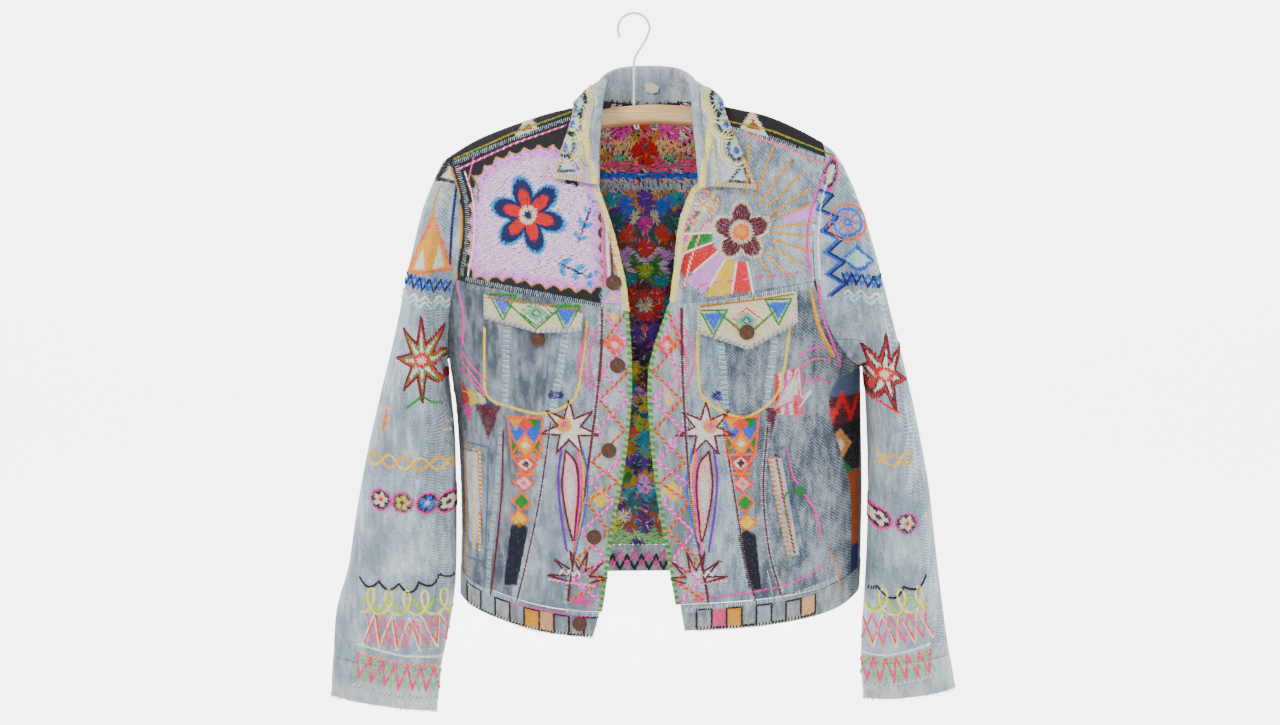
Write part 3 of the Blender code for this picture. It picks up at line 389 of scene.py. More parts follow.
# Denim
# One weave serves every cloth: pale and indigo yarns mixed by patches, slubs, fuzz and ribs,
# with a height for the bumps. Each cloth gives it its own two colours.
def weave_group():
    """Old denim: slanting twill ribs, slubs, washed-out patches and a little soiling."""
    group = bpy.data.node_groups.new("denim_weave", "ShaderNodeTree")
    for name, kind in (("Pale", "NodeSocketColor"), ("Indigo", "NodeSocketColor"),
                       ("Ribs", "NodeSocketFloat")):
        group.interface.new_socket(name, in_out="INPUT", socket_type=kind)
    for name, kind in (("Colour", "NodeSocketColor"), ("Roughness", "NodeSocketFloat"),
                       ("Height", "NodeSocketFloat")):
        group.interface.new_socket(name, in_out="OUTPUT", socket_type=kind)
    nodes, links = group.nodes, group.links
    given, out = nodes.new("NodeGroupInput"), nodes.new("NodeGroupOutput")
    place = nodes.new("ShaderNodeTexCoord")
    turn = nodes.new("ShaderNodeMapping")
    turn.inputs["Rotation"].default_value = (0.3, math.radians(38), math.radians(32))
    links.new(place.outputs["Object"], turn.inputs["Vector"])
    ribs = nodes.new("ShaderNodeTexWave")
    ribs.inputs["Scale"].default_value = 130
    ribs.inputs["Distortion"].default_value = 2.5
    ribs.inputs["Detail"].default_value = 2
    ribs.inputs["Detail Scale"].default_value = 3
    links.new(turn.outputs["Vector"], ribs.inputs["Vector"])

    def noise(scale, stretch, detail=3):
        scaled = nodes.new("ShaderNodeMapping")
        scaled.inputs["Scale"].default_value = stretch
        made = nodes.new("ShaderNodeTexNoise")
        made.inputs["Scale"].default_value = scale
        made.inputs["Detail"].default_value = detail
        links.new(place.outputs["Object"], scaled.inputs["Vector"])
        links.new(scaled.outputs["Vector"], made.inputs["Vector"])
        return made.outputs["Fac"]

    def sums(operation, a, b, clamp=False):
        made = nodes.new("ShaderNodeMath")
        made.operation, made.use_clamp = operation, clamp
        for socket, value in zip(made.inputs, (a, b)):
            if hasattr(value, "is_output"):
                links.new(value, socket)
            else:
                socket.default_value = value
        return made.outputs[0]

    patches, slubs, fuzz = noise(19, (1, 1, 0.8), 9), noise(150, (1, 1, 0.3), 6), noise(520, (1, 1, 1), 3)
    rib = sums("MULTIPLY", ribs.outputs["Fac"], given.outputs["Ribs"])
    dark = sums("ADD", sums("MULTIPLY", sums("SUBTRACT", patches, 0.5), 2.1),
                sums("MULTIPLY", sums("SUBTRACT", slubs, 0.5), 1.7))
    fluff = sums("MULTIPLY", sums("SUBTRACT", fuzz, 0.5), 1.2)
    dark = sums("ADD", sums("ADD", dark, 0.42), sums("ADD", rib, fluff), True)
    mix = nodes.new("ShaderNodeMix")
    mix.data_type = "RGBA"
    links.new(dark, mix.inputs["Factor"])
    links.new(given.outputs["Pale"], mix.inputs["A"])
    links.new(given.outputs["Indigo"], mix.inputs["B"])
    links.new(mix.outputs["Result"], out.inputs["Colour"])
    rumple = sums("ADD", sums("MULTIPLY", noise(34, (1, 1, 1.4), 3), 24.0),
                  sums("MULTIPLY", noise(11, (1, 1, 1.2), 2), 40.0))
    rumple = sums("ADD", rumple, sums("MULTIPLY", noise(85, (1, 1, 1.3), 4), 9.0))
    links.new(sums("ADD", sums("MULTIPLY", fuzz, 0.15), 0.8), out.inputs["Roughness"])
    links.new(sums("ADD", sums("MULTIPLY", ribs.outputs["Fac"], 0.6),
                   sums("ADD", sums("MULTIPLY", slubs, 1.2), sums("ADD", fuzz, rumple))),
                   out.inputs["Height"])
    return group


WEAVE = weave_group()


def denim(name, pale, indigo, ribs=0.4, bump=0.6):
    made, nodes, links, shader = principled(name, pale, 0.9, Sheen_Weight=0.08, Sheen_Roughness=0.5)
    group = nodes.new("ShaderNodeGroup")
    group.node_tree = WEAVE
    group.inputs["Pale"].default_value = pale
    group.inputs["Indigo"].default_value = indigo
    group.inputs["Ribs"].default_value = ribs
    links.new(group.outputs["Colour"], shader.inputs["Base Color"])
    links.new(group.outputs["Roughness"], shader.inputs["Roughness"])
    emboss(nodes, links, shader, group.outputs["Height"], bump, 0.0008)
    return made


WASHED = denim("washed_denim", (0.46, 0.53, 0.58, 1), (0.10, 0.14, 0.20, 1))
GREY = denim("grey_denim", (0.42, 0.46, 0.48, 1), (0.11, 0.135, 0.16, 1))
SLEEVE_CLOTH = denim("sleeve_denim", (0.55, 0.64, 0.67, 1), (0.17, 0.24, 0.30, 1), ribs=0.55, bump=0.75)
PALE = denim("pale_denim", (0.52, 0.58, 0.61, 1), (0.20, 0.26, 0.32, 1), ribs=0.2)
WORN = denim("worn_denim", (0.33, 0.39, 0.43, 1), (0.045, 0.06, 0.09, 1))
DARK_GROUND = denim("black_stitched_denim", (0.05, 0.045, 0.05, 1), (0.012, 0.012, 0.016, 1), ribs=0.2)
BACK_GROUND = denim("back_denim", (0.24, 0.20, 0.22, 1), (0.05, 0.05, 0.07, 1), ribs=0.2)
SKINS = {}


# Lower panels
# The bands, centre, V, side and back panels hang from the yoke seams and the armholes down to
# the waist seam, each between two of the long seams above.
def top_down(angle, side):
    under = ARM_UNDER[side]
    size = np.abs(angle)
    down = 310 + 0 * size
    for _ in range(6):
        down = straight(YOKE_SEAM[side], ring(angle, down)[..., 0])
    arm = through(sorted((abs(a), d) for a, d in under))(size)
    behind = np.where(size >= abs(under[-1][0]), BACK_YOKE_DOWN, arm)
    return np.where(size <= abs(under[0][0]), down, behind)


def lower_down(angle, r, side):
    return blend(top_down(angle, side), WAIST_DOWN(angle if side == "L" else angle - 360), r)


def seam(table, side, front=True):
    """Angle of a long seam by share of the way down."""
    x_at = through(sorted(table))
    r = np.linspace(0, 1, 61)
    down = 480 + 0 * r
    for _ in range(6):
        angle = angle_of(x_at(down), down, front)
        if side == "L" and not front:
            angle = np.where(angle > 0, angle - 360, angle)
        down = lower_down(angle, r, side)
    return lambda share: np.interp(share, r, angle)


def lower_piece(name, side, start, end, width, finish, ease=(1, 1), slot="denim", **more):
    def corner(c, r):
        angle = blend(start(0), end(0), c)
        angle = angle + (start(r) - start(0)) * (1 - c) ** ease[0] + (end(r) - end(0)) * c ** ease[1]
        return angle, lower_down(angle, r, side)

    keep(name, cloth(name, ring, corner, width, 340, finish, **more))


def keep(name, piece):
    """Hang a cloth piece in place of its solid, with the size it was cut to, and note its
    outer skin for the stitches."""
    SKINS[name] = (LAST["skin"], LAST["out"])
    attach(piece, "root")
    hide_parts(name)


for side in "LR":
    left = side == "L"
    edge, band, vee_in, vee_out = (seam(table, side) for table in (
        (EDGE_L, BAND_L, VEE_IN_L, VEE_OUT_L) if left else (EDGE_R, BAND_R, VEE_IN_R, VEE_OUT_R)))
    vee_back = seam(VEE_BACK_L if left else VEE_BACK_R, side, front=False)
    under_arm = through(SIDE_SEAM[side])
    lower_piece(f"front_band_{side}", side, edge, band, 44, GREY, slot="denim_doubled", thick=2.7, lift=0.6)
    lower_piece(f"front_centre_{side}", side, band, vee_in, 60, WASHED)
    lower_piece(f"front_middle_{side}", side, vee_in, vee_out, 50, WORN)
    lower_piece(f"front_side_{side}", side, vee_out, under_arm, 110, WORN, ease=(1, 1.5))
    lower_piece(f"back_side_{side}", side, under_arm, vee_back, 190, BACK_GROUND, ease=(3, 1))
    if left:
        back_seam = vee_back


def back_centre_corner(c, r):
    angle = blend(back_seam(r), vee_back(r) - 360, c)
    return angle, blend(BACK_YOKE_DOWN, WAIST_DOWN(angle), r)


keep("back_centre", cloth("back_centre", ring, back_centre_corner, 250, 440, BACK_GROUND))

# Waistband
# One doubled strip of the same denim, sewn on below the waist seam from edge to edge.
def waist_corner(c, r):
    edge_down = blend(677, 706, r)
    start = angle_of(through(EDGE_L)(edge_down), edge_down)
    end = angle_of(through(EDGE_R)(edge_down), edge_down) - 360
    angle = blend(start, end, c)
    return angle, WAIST_DOWN(angle) + 0.8 + WAIST_TALL(angle) * r


keep("waistband", cloth("waistband", ring, waist_corner, 1150, 31, GREY, thick=2.7, lift=0.8))


# Front yokes
# Two pieces from the shoulder seam to the yoke seam, cut to the neckline and the armhole.
def front_yoke_corner(side):
    left = side == "L"
    arm, edge = through(ARM_FRONT_L if left else ARM_FRONT_R), through(EDGE_L if left else EDGE_R)
    neck_down, neck_end = (118, 197) if left else (119, 190)
    arm_top, arm_end = (164, 298) if left else (160, 297)
    edge_end = 328 if left else 317
    neck = through(sorted((d, x) for x, d, facing in NECK if facing > 0.5 and (x < 16) == left))

    def corner(c, r):
        down1 = blend(neck_down, edge_end, r)
        x1 = np.where(down1 < neck_end, neck(down1), edge(down1))
        down2 = blend(arm_top, arm_end, r)
        x = blend(x1, arm(down2), c)
        down = blend(down1, down2, c)
        down = blend(down, straight(YOKE_SEAM[side], x), np.clip((r - 0.9) / 0.1, 0, 1))
        return x, blend(straight(SHOULDER_SEAM[side], x), down, np.clip(r / 0.1, 0, 1))

    return corner


yoke = cloth("front_yoke_L", front_face, front_yoke_corner("L"), 190, 200, WASHED)
yoke.data.materials.append(DARK_GROUND)
for face in yoke.data.polygons:
    face.material_index = int(face.center.x < -0.037)
keep("front_yoke_L", yoke)
keep("front_yoke_R", cloth("front_yoke_R", front_face, front_yoke_corner("R"), 170, 200, WASHED))


# Back yoke
# One piece across the back that comes over both shoulders to the seams in front.
BACK_NECK = [(-54, 118, 1)] + [row for row in NECK if row[1] < 118] + [(87, 119, 1)]
BACK_YOKE_NECK = (0.21, 0.84)


def over_ridge(x, root):
    """Shoulder points: the root squared is the distance below the ridge, negative in front."""
    down = RIDGE_DOWN(x) + root * root
    return np.where((root < 0)[..., None], front_face(x, down), back_face(x, down))


def signed_root(x, down, side):
    return np.sign(side) * np.sqrt(np.maximum(down - RIDGE_DOWN(x), 0))


def stations(table, share, columns):
    keyed = [(i, *row) for i, row in enumerate(table)]
    return [through(keyed, c + 1)(np.asarray(share) * (len(table) - 1)) for c in range(columns)]


def rooted(table):
    return [(x, float(signed_root(x, down, -facing))) for x, down, facing in table]


BACK_CORNER = {side: float(ring(ARM_UNDER[side][-1][0], BACK_YOKE_DOWN)[0]) for side in "LR"}
BACK_NECK_LINE = rooted(BACK_NECK)


def back_yoke_corner(c, r):
    c, r = np.broadcast_arrays(c, r)
    start, end = BACK_YOKE_NECK
    x_left, x_right = blend(-212, -54, c / start), blend(87, 218, (c - end) / (1 - end))
    x, root = stations(BACK_NECK_LINE, np.clip((c - start) / (end - start), 0, 1), 2)
    root_left = signed_root(x_left, straight(SHOULDER_SEAM["L"], x_left), -1)
    root_right = signed_root(x_right, straight(SHOULDER_SEAM["R"], x_right), -1)
    x = np.where(c < start, x_left, np.where(c > end, x_right, x))
    root = np.where(c < start, root_left, np.where(c > end, root_right, root))
    below = blend(BACK_CORNER["L"], BACK_CORNER["R"], c)
    return blend(x, below, r), blend(root, signed_root(below, BACK_YOKE_DOWN, 1), r)


keep("back_yoke", cloth("back_yoke", over_ridge, back_yoke_corner, 480, 150, DARK_GROUND, facing=-1))

# Collar
# Doubled denim that stands at the neck, folds over and falls to two long points.
COLLAR_FOLD = (
    # x, down, y
    (-42, 187, -80), (-41, 152, -76), (-39, 120, -59), (-37, 96, -39), (-35, 79, -15),
    (-30, 67, 19), (-13, 59, 44), (16, 57, 51), (45, 59, 44), (61, 67, 19), (66, 79, -15),
    (67, 96, -39), (69, 122, -59), (73, 155, -76), (77, 189, -83),
)
COLLAR_EDGE = (
    # x, down, 1 on the front and -1 on the back
    (-91, 184, 1), (-81, 156, 1), (-72, 131, 1), (-67, 113, 1), (-66, 103, 0), (-58, 106, -1),
    (-26, 112, -1), (16, 114, -1), (58, 112, -1), (92, 106, -1), (99, 103, 0), (101, 112, 1),
    (109, 131, 1), (122, 160, 1), (137, 196, 1),
)
COLLAR_LIFT = 6.5
COLLAR_CROWN = 4.0
FOLD_RADIUS = 4.8
COLLAR_WAVES = ((0.10, 0.9, 1.2), (0.27, 0.8, -1.0), (0.73, 0.8, 1.1), (0.92, 0.9, -1.0))


def collar_grid():
    share = np.linspace(0, 1, 121)
    neck, edge_line = rooted(NECK), rooted(COLLAR_EDGE)
    places = stations(neck, share, 2)
    foot = over_ridge(*places) - normals(over_ridge, *places) * 1.3
    places = stations(edge_line, share, 2)
    up = -normals(over_ridge, *places)
    edge = over_ridge(*places) + up * COLLAR_LIFT

    def fold_at(s):
        x, down, y = stations(COLLAR_FOLD, s, 3)
        return np.stack([x, y, -down], axis=-1)

    along = unit(fold_at(np.clip(share + 0.01, 0, 1)) - fold_at(np.clip(share - 0.01, 0, 1)))
    outward = unit(np.stack([-along[:, 1], along[:, 0], 0 * share], axis=-1))
    rise = np.cross(along, outward)
    top = fold_at(share) + outward * FOLD_RADIUS / 2
    lines = [foot]
    bend = [top - outward * FOLD_RADIUS * math.cos(t) + rise * FOLD_RADIUS * (math.sin(t) - 1)
            for t in np.linspace(0, math.pi, 9)]
    lines += [blend(foot, bend[0], t) for t in (0.25, 0.5, 0.75)] + bend
    waves = sum(depth * np.exp(-((share - at) / 0.04) ** 2) for at, _, depth in COLLAR_WAVES)
    for t in np.linspace(0, 1, 13)[1:]:
        crown = 4 * t * (1 - t) * (COLLAR_CROWN + waves) + waves * t * 0.4
        lines.append(blend(bend[-1], edge, t) + up * crown[:, None])
    return np.stack(lines, axis=1)


def grid_normals(grid, closed=False):
    if closed:
        across = np.roll(grid, -1, axis=1) - np.roll(grid, 1, axis=1)
    else:
        across = np.gradient(grid, axis=1)
    return unit(np.cross(np.gradient(grid, axis=0), across))


def wrap(name, grid, thick, finish, closed=False, facing=1):
    """A piece whose outer skin is a grid of points."""
    normal = grid_normals(grid, closed) * facing
    LAST["skin"], LAST["out"] = grid, normal
    return shell(name, grid, grid - normal * thick, finish, closed)


keep("collar", wrap("collar", collar_grid(), 1.9, PALE))

# Sleeves and cuffs
# Two-piece sleeves set into the armholes, soft and part flattened, with doubled cuffs.
SLEEVE_L = (
    # outer x, its down, inner x, its down, middle y, half depth
    (-222, 171, -220, 399, 0, 50), (-230, 190, -221.5, 402, -2, 60), (-240, 216, -221, 407, -4, 68),
    (-251, 262, -218.5, 416, -6, 74), (-264, 310, -216, 430, -9, 77), (-278, 370, -213, 452, -11, 76),
    (-295, 435, -210, 486, -12, 72), (-312, 505, -209, 540, -14, 66), (-326, 575, -209, 598, -16, 57),
    (-337, 640, -211, 658, -18, 45), (-352, 692, -218, 708, -20, 32), (-357, 748, -230, 764, -22, 19),
)
SLEEVE_R = (
    (234, 160, 269, 403, -1, 52), (244, 176, 271, 405, -3, 62), (254, 200, 271.5, 410, -5, 70),
    (266, 232, 272, 420, -8, 77), (280, 280, 272, 434, -12, 82), (295, 338, 272.5, 454, -16, 85),
    (312, 400, 273, 482, -19, 85), (327, 462, 274, 515, -22, 83), (342, 535, 275, 560, -24, 78),
    (351, 600, 274, 616, -25, 68), (359, 655, 272, 668, -25, 55), (366, 700, 269.5, 712, -25, 41),
    (373, 742, 269, 752, -25, 28),
)
CUFF_L = ((-357.5, 748.7, -229.5, 764.7, -22, 19.4), (-360, 796, -235, 815, -23, 17))
CUFF_R = ((373.3, 742.7, 268.7, 752.7, -25, 28.4), (381, 784, 272.5, 797, -26, 25))
ARMHOLE_HOLD = ((0.5, 5), (0.2, 9))
SLEEVE_CREASES = {
    # row, turn, its width in rows and degrees, how far it leans, depth
    "L": ((0.9, 95, 0.5, 42, 0, 2.6), (2.6, 62, 1.4, 14, 12, 3.0), (4.6, 150, 1.6, 16, -14, 3.2),
          (6.4, 60, 1.3, 12, 16, 2.2),
          (7.4, 120, 1.2, 13, -18, 2.6), (8.6, 75, 1.0, 14, 16, 2.0), (9.8, 110, 0.8, 18, 10, 2.2),
          (4.0, 250, 1.6, 16, 14, 3.0), (7.0, 290, 1.4, 14, -14, 2.4), (3.0, 20, 1.2, 10, 8, -1.6)),
    "R": ((0.9, 88, 0.55, 48, 0, 6.5), (3.0, 115, 1.4, 14, -12, 3.2), (4.8, 50, 1.5, 14, 14, 3.0),
          (6.4, 120, 1.2, 12, -16, 2.4),
          (7.6, 70, 1.2, 14, 16, 2.8), (9.2, 110, 1.0, 14, -14, 2.0), (10.6, 80, 0.8, 16, 12, 2.0),
          (4.4, 240, 1.6, 16, -14, 3.0), (7.6, 295, 1.3, 14, 14, 2.4), (5.6, 88, 1.0, 10, 10, -1.4)),
}


def sleeve_ring(ox, odown, ix, idown, y, deep, turn):
    """Points of a sleeve ring: turn 0 is outside or on top, 90 in front, 180 inside."""
    outer, inner = np.stack([ox, y, -odown], axis=-1), np.stack([ix, y, -idown], axis=-1)
    angle = np.radians(turn)[..., None]
    front = np.stack([0 * deep, -deep, 0 * deep], axis=-1)
    return (outer + inner) / 2 + (outer - inner) / 2 * np.cos(angle) + front * np.sin(angle)


def armhole_line(side):
    """The armhole's edge as a line from the ridge down the front and up the back."""
    end = 0.0 if side == "L" else 1.0
    r = np.linspace(0, 1, 161)
    over = over_ridge(*back_yoke_corner(end, r))
    top = int(np.argmax(over[:, 2]))
    front = front_face(*front_yoke_corner(side)(1, r))
    under = ARM_UNDER[side]
    angles = np.linspace(under[0][0], under[-1][0], 400)
    below = ring(angles, top_down(angles, side))
    return np.concatenate([over[top:0:-1], front, below, over[-2:top - 1:-1]])


def sleeve_surface(side):
    table = SLEEVE_L if side == "L" else SLEEVE_R
    keyed = [(i, *row) for i, row in enumerate(table)]
    columns = [through(keyed, c) for c in range(1, 7)]
    line = armhole_line(side)
    low = int(np.argmin(line[:, 2]))
    along = np.concatenate([[0], np.cumsum(np.linalg.norm(np.diff(line, axis=0), axis=1))])
    turns = np.where(np.arange(len(line)) <= low, 180 * along / along[low],
                     180 + 180 * (along - along[low]) / (along[-1] - along[low]))
    away = np.array([-1.0 if side == "L" else 1.0, 0, 0])

    def hole(turn):
        return np.stack([np.interp(turn % 360, turns, line[:, k]) for k in range(3)], axis=-1)

    def at(s, turn):
        s, turn = np.broadcast_arrays(np.asarray(s, float), np.asarray(turn, float))
        down = np.clip(s, 0, len(table) - 1)
        free = sleeve_ring(*(column(down) for column in columns), turn)
        held = np.interp(down, (0, 1, 2), (ARMHOLE_HOLD[0][0], ARMHOLE_HOLD[1][0], 0))[..., None]
        reach = np.interp(down, (0, 1), (ARMHOLE_HOLD[0][1], ARMHOLE_HOLD[1][1]))[..., None]
        edge = hole(turn)
        free = blend(free, edge + away * reach, held)
        leaving = unit(unit(free - edge) + away)
        return blend(free, edge + leaving * 0.8, np.clip(-s, 0, 1)[..., None])

    return at, len(table) - 1


SLEEVE_AT = {}
for side in "LR":
    surface, last = sleeve_surface(side)
    SLEEVE_AT[side] = surface
    rows = np.concatenate([np.linspace(-1, 0, 4)[:-1], np.linspace(0, last, 120)])[:, None]
    facing = 1 if side == "L" else -1
    for part, first, end in (("under", 135.3, 314.7), ("upper", 315.3, 494.7)):
        turns = np.linspace(first, end, 46)[None, :]
        grid = surface(rows, turns)
        normal = grid_normals(grid) * facing
        depth = 0
        for row, turn, tall, wide, lean, deep in SLEEVE_CREASES[side]:
            off = (turns - turn - lean * (rows - row) + 180) % 360 - 180
            depth = depth + deep * np.exp(-((rows - row) / tall) ** 2 - (off / wide) ** 2)
        fade = np.clip(np.minimum(rows, last - rows) / 1.2, 0, 1)
        grid = grid - normal * (depth * fade * 1.6)[..., None]
        keep(f"sleeve_{part}_{side}", wrap(f"sleeve_{part}_{side}", grid, 1.8, SLEEVE_CLOTH, facing=facing))
    top, bottom = (np.array(row) for row in (CUFF_L if side == "L" else CUFF_R))
    shares = np.linspace(0, 1, 11)[:, None]
    turns = np.arange(72)[None, :] * 5.0
    sizes = [blend(top[k], bottom[k], shares) + 0 * turns for k in range(6)]
    grid = sleeve_ring(*sizes, turns + 0 * shares)
    swell = np.sin(np.pi * shares) * 0.5 + 0.35 * np.sin(np.radians(turns * 7 + 40)) * shares
    grid = grid + grid_normals(grid, True) * (swell * facing)[..., None]
    keep(f"cuff_{side}", wrap(f"cuff_{side}", grid, 2.7, PALE, closed=True, facing=facing))

# Pocket flaps, welts and the turned-out corner
# Doubled pointed flaps lie over the pockets, the left one unbuttoned with its corner curling.
# Narrow welts edge the two side pockets, and one corner of the facing is folded out.
FLAPS = {"L": (((-167, 313), (-58, 330)), ((-167, 338), (-108, 351), (-58, 347)), 15.0),
         "R": (((72, 323), (181, 308)), ((72, 351), (128, 371), (182, 342)), 2.5)}
WELTS = {"L": ((-186, 498), (-183, 606)), "R": ((160, 497), (183, 613))}
TURNED_CORNER = ((197, 4), (213, 36), (231, 25), (250, 12), (284, 3))


def flap_lift(side, c, r):
    rise = np.maximum(c - 0.35, 0) / 0.65 if side == "L" else 0.5 + 0 * c
    return 3.1 + FLAPS[side][2] * r * r * rise


for side in "LR":
    (first, second), (low_a, low_m, low_b), _ = FLAPS[side]

    def flap_corner(c, r):
        half = np.clip(c * 2, 0, 1), np.clip(c * 2 - 1, 0, 1)
        low = [blend(blend(low_a[k], low_m[k], half[0]), low_b[k], half[1]) for k in (0, 1)]
        return tuple(blend(blend(first[k], second[k], c), low[k], r) for k in (0, 1))

    flap = cloth(f"pocket_flap_{side}", front_face, flap_corner, 220, 80, PALE, thick=2.2,
                 lift=lambda c, r: flap_lift(side, c, r))
    keep(f"pocket_flap_{side}", flap)
    (x1, down1), (x2, down2) = WELTS[side]
    welt = cloth(f"pocket_welt_{side}", front_face,
                 lambda c, r: (blend(x1, x2, r) + (c - 0.5) * 14, blend(down1, down2, r) + 0 * c),
                 30, 110, PALE, thick=1.5, lift=2.6)
    keep(f"pocket_welt_{side}", welt)

corner_width, right_edge = through(TURNED_CORNER), through(EDGE_R)


def turned_place(c, r):
    down = blend(199, 284, r)
    return right_edge(down) + 0.5 + corner_width(down) * c, down + 0 * c


keep("turned_corner", cloth("turned_corner", front_face, turned_place, 40, 90, PALE,
                            lift=lambda c, r: 2.9 + 1.5 * (1 - c) + 0 * r))

# Thread
# Every motif is worked by hand in soft cotton. Fills are long and short stitches, outlines are
# rows of slanting stitches, and each stitch is a small raised grain that rides on the cloth.
THREADS = {
    # red, green and blue as a thread card gives them
    "black": (26, 24, 28), "white": (236, 233, 228), "cream": (233, 222, 196), "grey": (150, 160, 168),
    "mist": (176, 190, 200), "yellow": (232, 204, 84), "straw": (238, 226, 150),
    "mustard": (190, 146, 62), "gold": (246, 178, 30), "orange": (228, 128, 52),
    "peach": (238, 190, 150), "apricot": (240, 160, 104), "coral": (232, 106, 92), "red": (206, 24, 44),
    "scarlet": (228, 44, 36), "maroon": (92, 14, 42), "pink": (230, 104, 176), "rose": (226, 120, 150),
    "blush": (240, 196, 196), "lilac": (232, 178, 236), "heather": (252, 222, 246),
    "violet": (112, 66, 160), "plum": (80, 30, 90), "ink": (18, 22, 40), "navy": (28, 36, 84),
    "blue": (16, 120, 214), "cornflower": (72, 104, 184), "sky": (100, 168, 220),
    "ice": (196, 226, 228), "slate": (92, 110, 134), "turquoise": (64, 160, 180),
    "teal": (26, 104, 110), "green": (38, 128, 52), "mint": (150, 204, 140), "sage": (130, 180, 140),
    "lime": (174, 196, 72), "brown": (134, 76, 48), "rust": (150, 84, 40), "tan": (196, 150, 104),
}
STITCH = 5.2
STITCH_WIDTH = 1.25
CARD = {name: np.array([((c / 255 + 0.055) / 1.055) ** 2.4 for c in rgb]) for name, rgb in THREADS.items()}
for name, rgb in CARD.items():
    CARD[name] = np.clip(rgb.mean() + (rgb - rgb.mean()) * 1.4, 0.004, 0.95)
SEWN = {}
LUCK = np.random.default_rng(7)


def thread_finish():
    """Matt cotton whose colour is the stitch's own, with a little fleck and sheen."""
    made, nodes, links, shader = principled("cotton_thread", (0.5, 0.5, 0.5, 1), 0.8, Sheen_Weight=0.06,
                                            Sheen_Roughness=0.4)
    own = nodes.new("ShaderNodeVertexColor")
    own.layer_name = "thread"
    fleck = nodes.new("ShaderNodeTexNoise")
    fleck.inputs["Scale"].default_value = 700
    shade = nodes.new("ShaderNodeMapRange")
    shade.inputs["To Min"].default_value = 0.6
    shade.inputs["To Max"].default_value = 1.22
    tint = nodes.new("ShaderNodeMix")
    tint.data_type, tint.blend_type = "RGBA", "MULTIPLY"
    tint.inputs["Factor"].default_value = 1
    links.new(fleck.outputs["Fac"], shade.inputs["Value"])
    links.new(own.outputs["Color"], tint.inputs["A"])
    links.new(shade.outputs["Result"], tint.inputs["B"])
    links.new(tint.outputs["Result"], shader.inputs["Base Color"])
    emboss(nodes, links, shader, fleck.outputs["Fac"], 0.3, 0.0003)
    return made


COTTON = thread_finish()


def lay(group, place, out, along, length, width, height, rgb):
    """Add stitches: where they lie, the way out of the cloth, their run, sizes and colours."""
    count = len(place)
    if not count:
        return
    rgb = np.broadcast_to(rgb, (count, 3))
    shade = 1 + LUCK.normal(0, 0.09, (count, 1)) + LUCK.normal(0, 0.025, (count, 3))
    sizes = [np.broadcast_to(np.asarray(v, float), (count,)) for v in (length, width, height)]
    SEWN.setdefault(group, []).append((place, out, along, *sizes, rgb * np.clip(shade, 0.5, 1.5)))


def sew(group):
    """Make one mesh of a group's stitches, each a grain with a small ridge."""
    place, out, along, length, width, height, rgb = (np.concatenate(part) for part in zip(*SEWN.pop(group)))
    side = unit(np.cross(out, along))
    half, wide = along * length[:, None] / 2, side * width[:, None] / 2
    low, high = place - out * 0.25, place + out * height[:, None]
    points = np.stack([low - half - wide * 0.6, low - half + wide * 0.6, low + half * 0.7 + wide, low + half
                       - wide * 0.5, high - half * 0.55, high + half * 0.55], axis=1)
    base = np.arange(len(place))[:, None, None] * 6
    faces = base + np.array([[0, 4, 1], [1, 4, 5], [1, 5, 2], [2, 5, 3], [3, 5, 4], [3, 4, 0]])
    made = mesh_object(group, points, faces.reshape(-1, 3).tolist(), COTTON)
    colours = made.data.color_attributes.new("thread", "FLOAT_COLOR", "POINT")
    flat = np.concatenate([np.repeat(rgb, 6, axis=0), np.ones((len(rgb) * 6, 1))], axis=1)
    colours.data.foreach_set("color", flat.astype(np.float32).ravel())
    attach(made, "root")


def scatter(skin, out, room):
    """Even but unruly places over a skin, one for each so many square millimetres."""
    a, b, c = skin[:-1, :-1], skin[:-1, 1:], skin[1:, :-1]
    size = np.linalg.norm(np.cross(b - a, c - a), axis=-1)
    count = np.floor(size / room + LUCK.random(size.shape)).astype(int).ravel()
    cell = np.repeat(np.arange(count.size), count)
    j, i = np.divmod(cell, size.shape[1])
    k = np.arange(len(cell))
    s, t = ((k * 0.7549) % 1)[:, None], ((k * 0.5698) % 1)[:, None]
    place = blend(blend(skin[j, i], skin[j, i + 1], s), blend(skin[j + 1, i], skin[j + 1, i + 1], s), t)
    return place, unit(out[j, i])


def fills(group, names, motifs, room=1.9, length=STITCH, width=STITCH_WIDTH, height=0.75, view="front",
          stray=0.0):
    """Fill the motifs with long and short stitches on the named pieces, seen from one side."""
    card = np.array([CARD[colour] if colour else np.zeros(3) for colour, _ in motifs])
    blank = np.array([colour is None for colour, _ in motifs])
    for name in names:
        place, out = scatter(*SKINS[name], room)
        seen = (out[:, 1] < 0.25) if view == "front" else (out[:, 1] > -0.05)
        place, out = place[seen], out[seen]
        if view == "inside":
            place, out = place - out * 1.9, -out
        x, down = place[:, 0] + LUCK.normal(0, 0.3, len(place)), -place[:, 2] + LUCK.normal(0, 0.3,
        len(place))
        chosen, lean = np.full(len(x), -1), np.zeros(len(x))
        for number, (_, motif) in enumerate(motifs):
            inside, way = motif(x, down)
            chosen, lean = np.where(inside, number, chosen), np.where(inside, way, lean)
        here = (chosen >= 0) & ~blank[chosen]
        place, out, chosen = place[here], out[here], chosen[here]
        lean = lean[here] + LUCK.normal(0, 0.22, here.sum())
        along = np.stack([np.cos(lean), 0 * lean, -np.sin(lean)], axis=-1)
        along = unit(along - out * (along * out).sum(axis=-1, keepdims=True))
        other = LUCK.integers(0, len(card), len(chosen))
        chosen = np.where((LUCK.random(len(chosen)) < stray) & ~blank[other], other, chosen)
        lay(group, place, out, along, length * LUCK.uniform(0.75, 1.2, len(lean)), width,
            height * LUCK.uniform(0.8, 1.3, len(lean)), card[chosen])


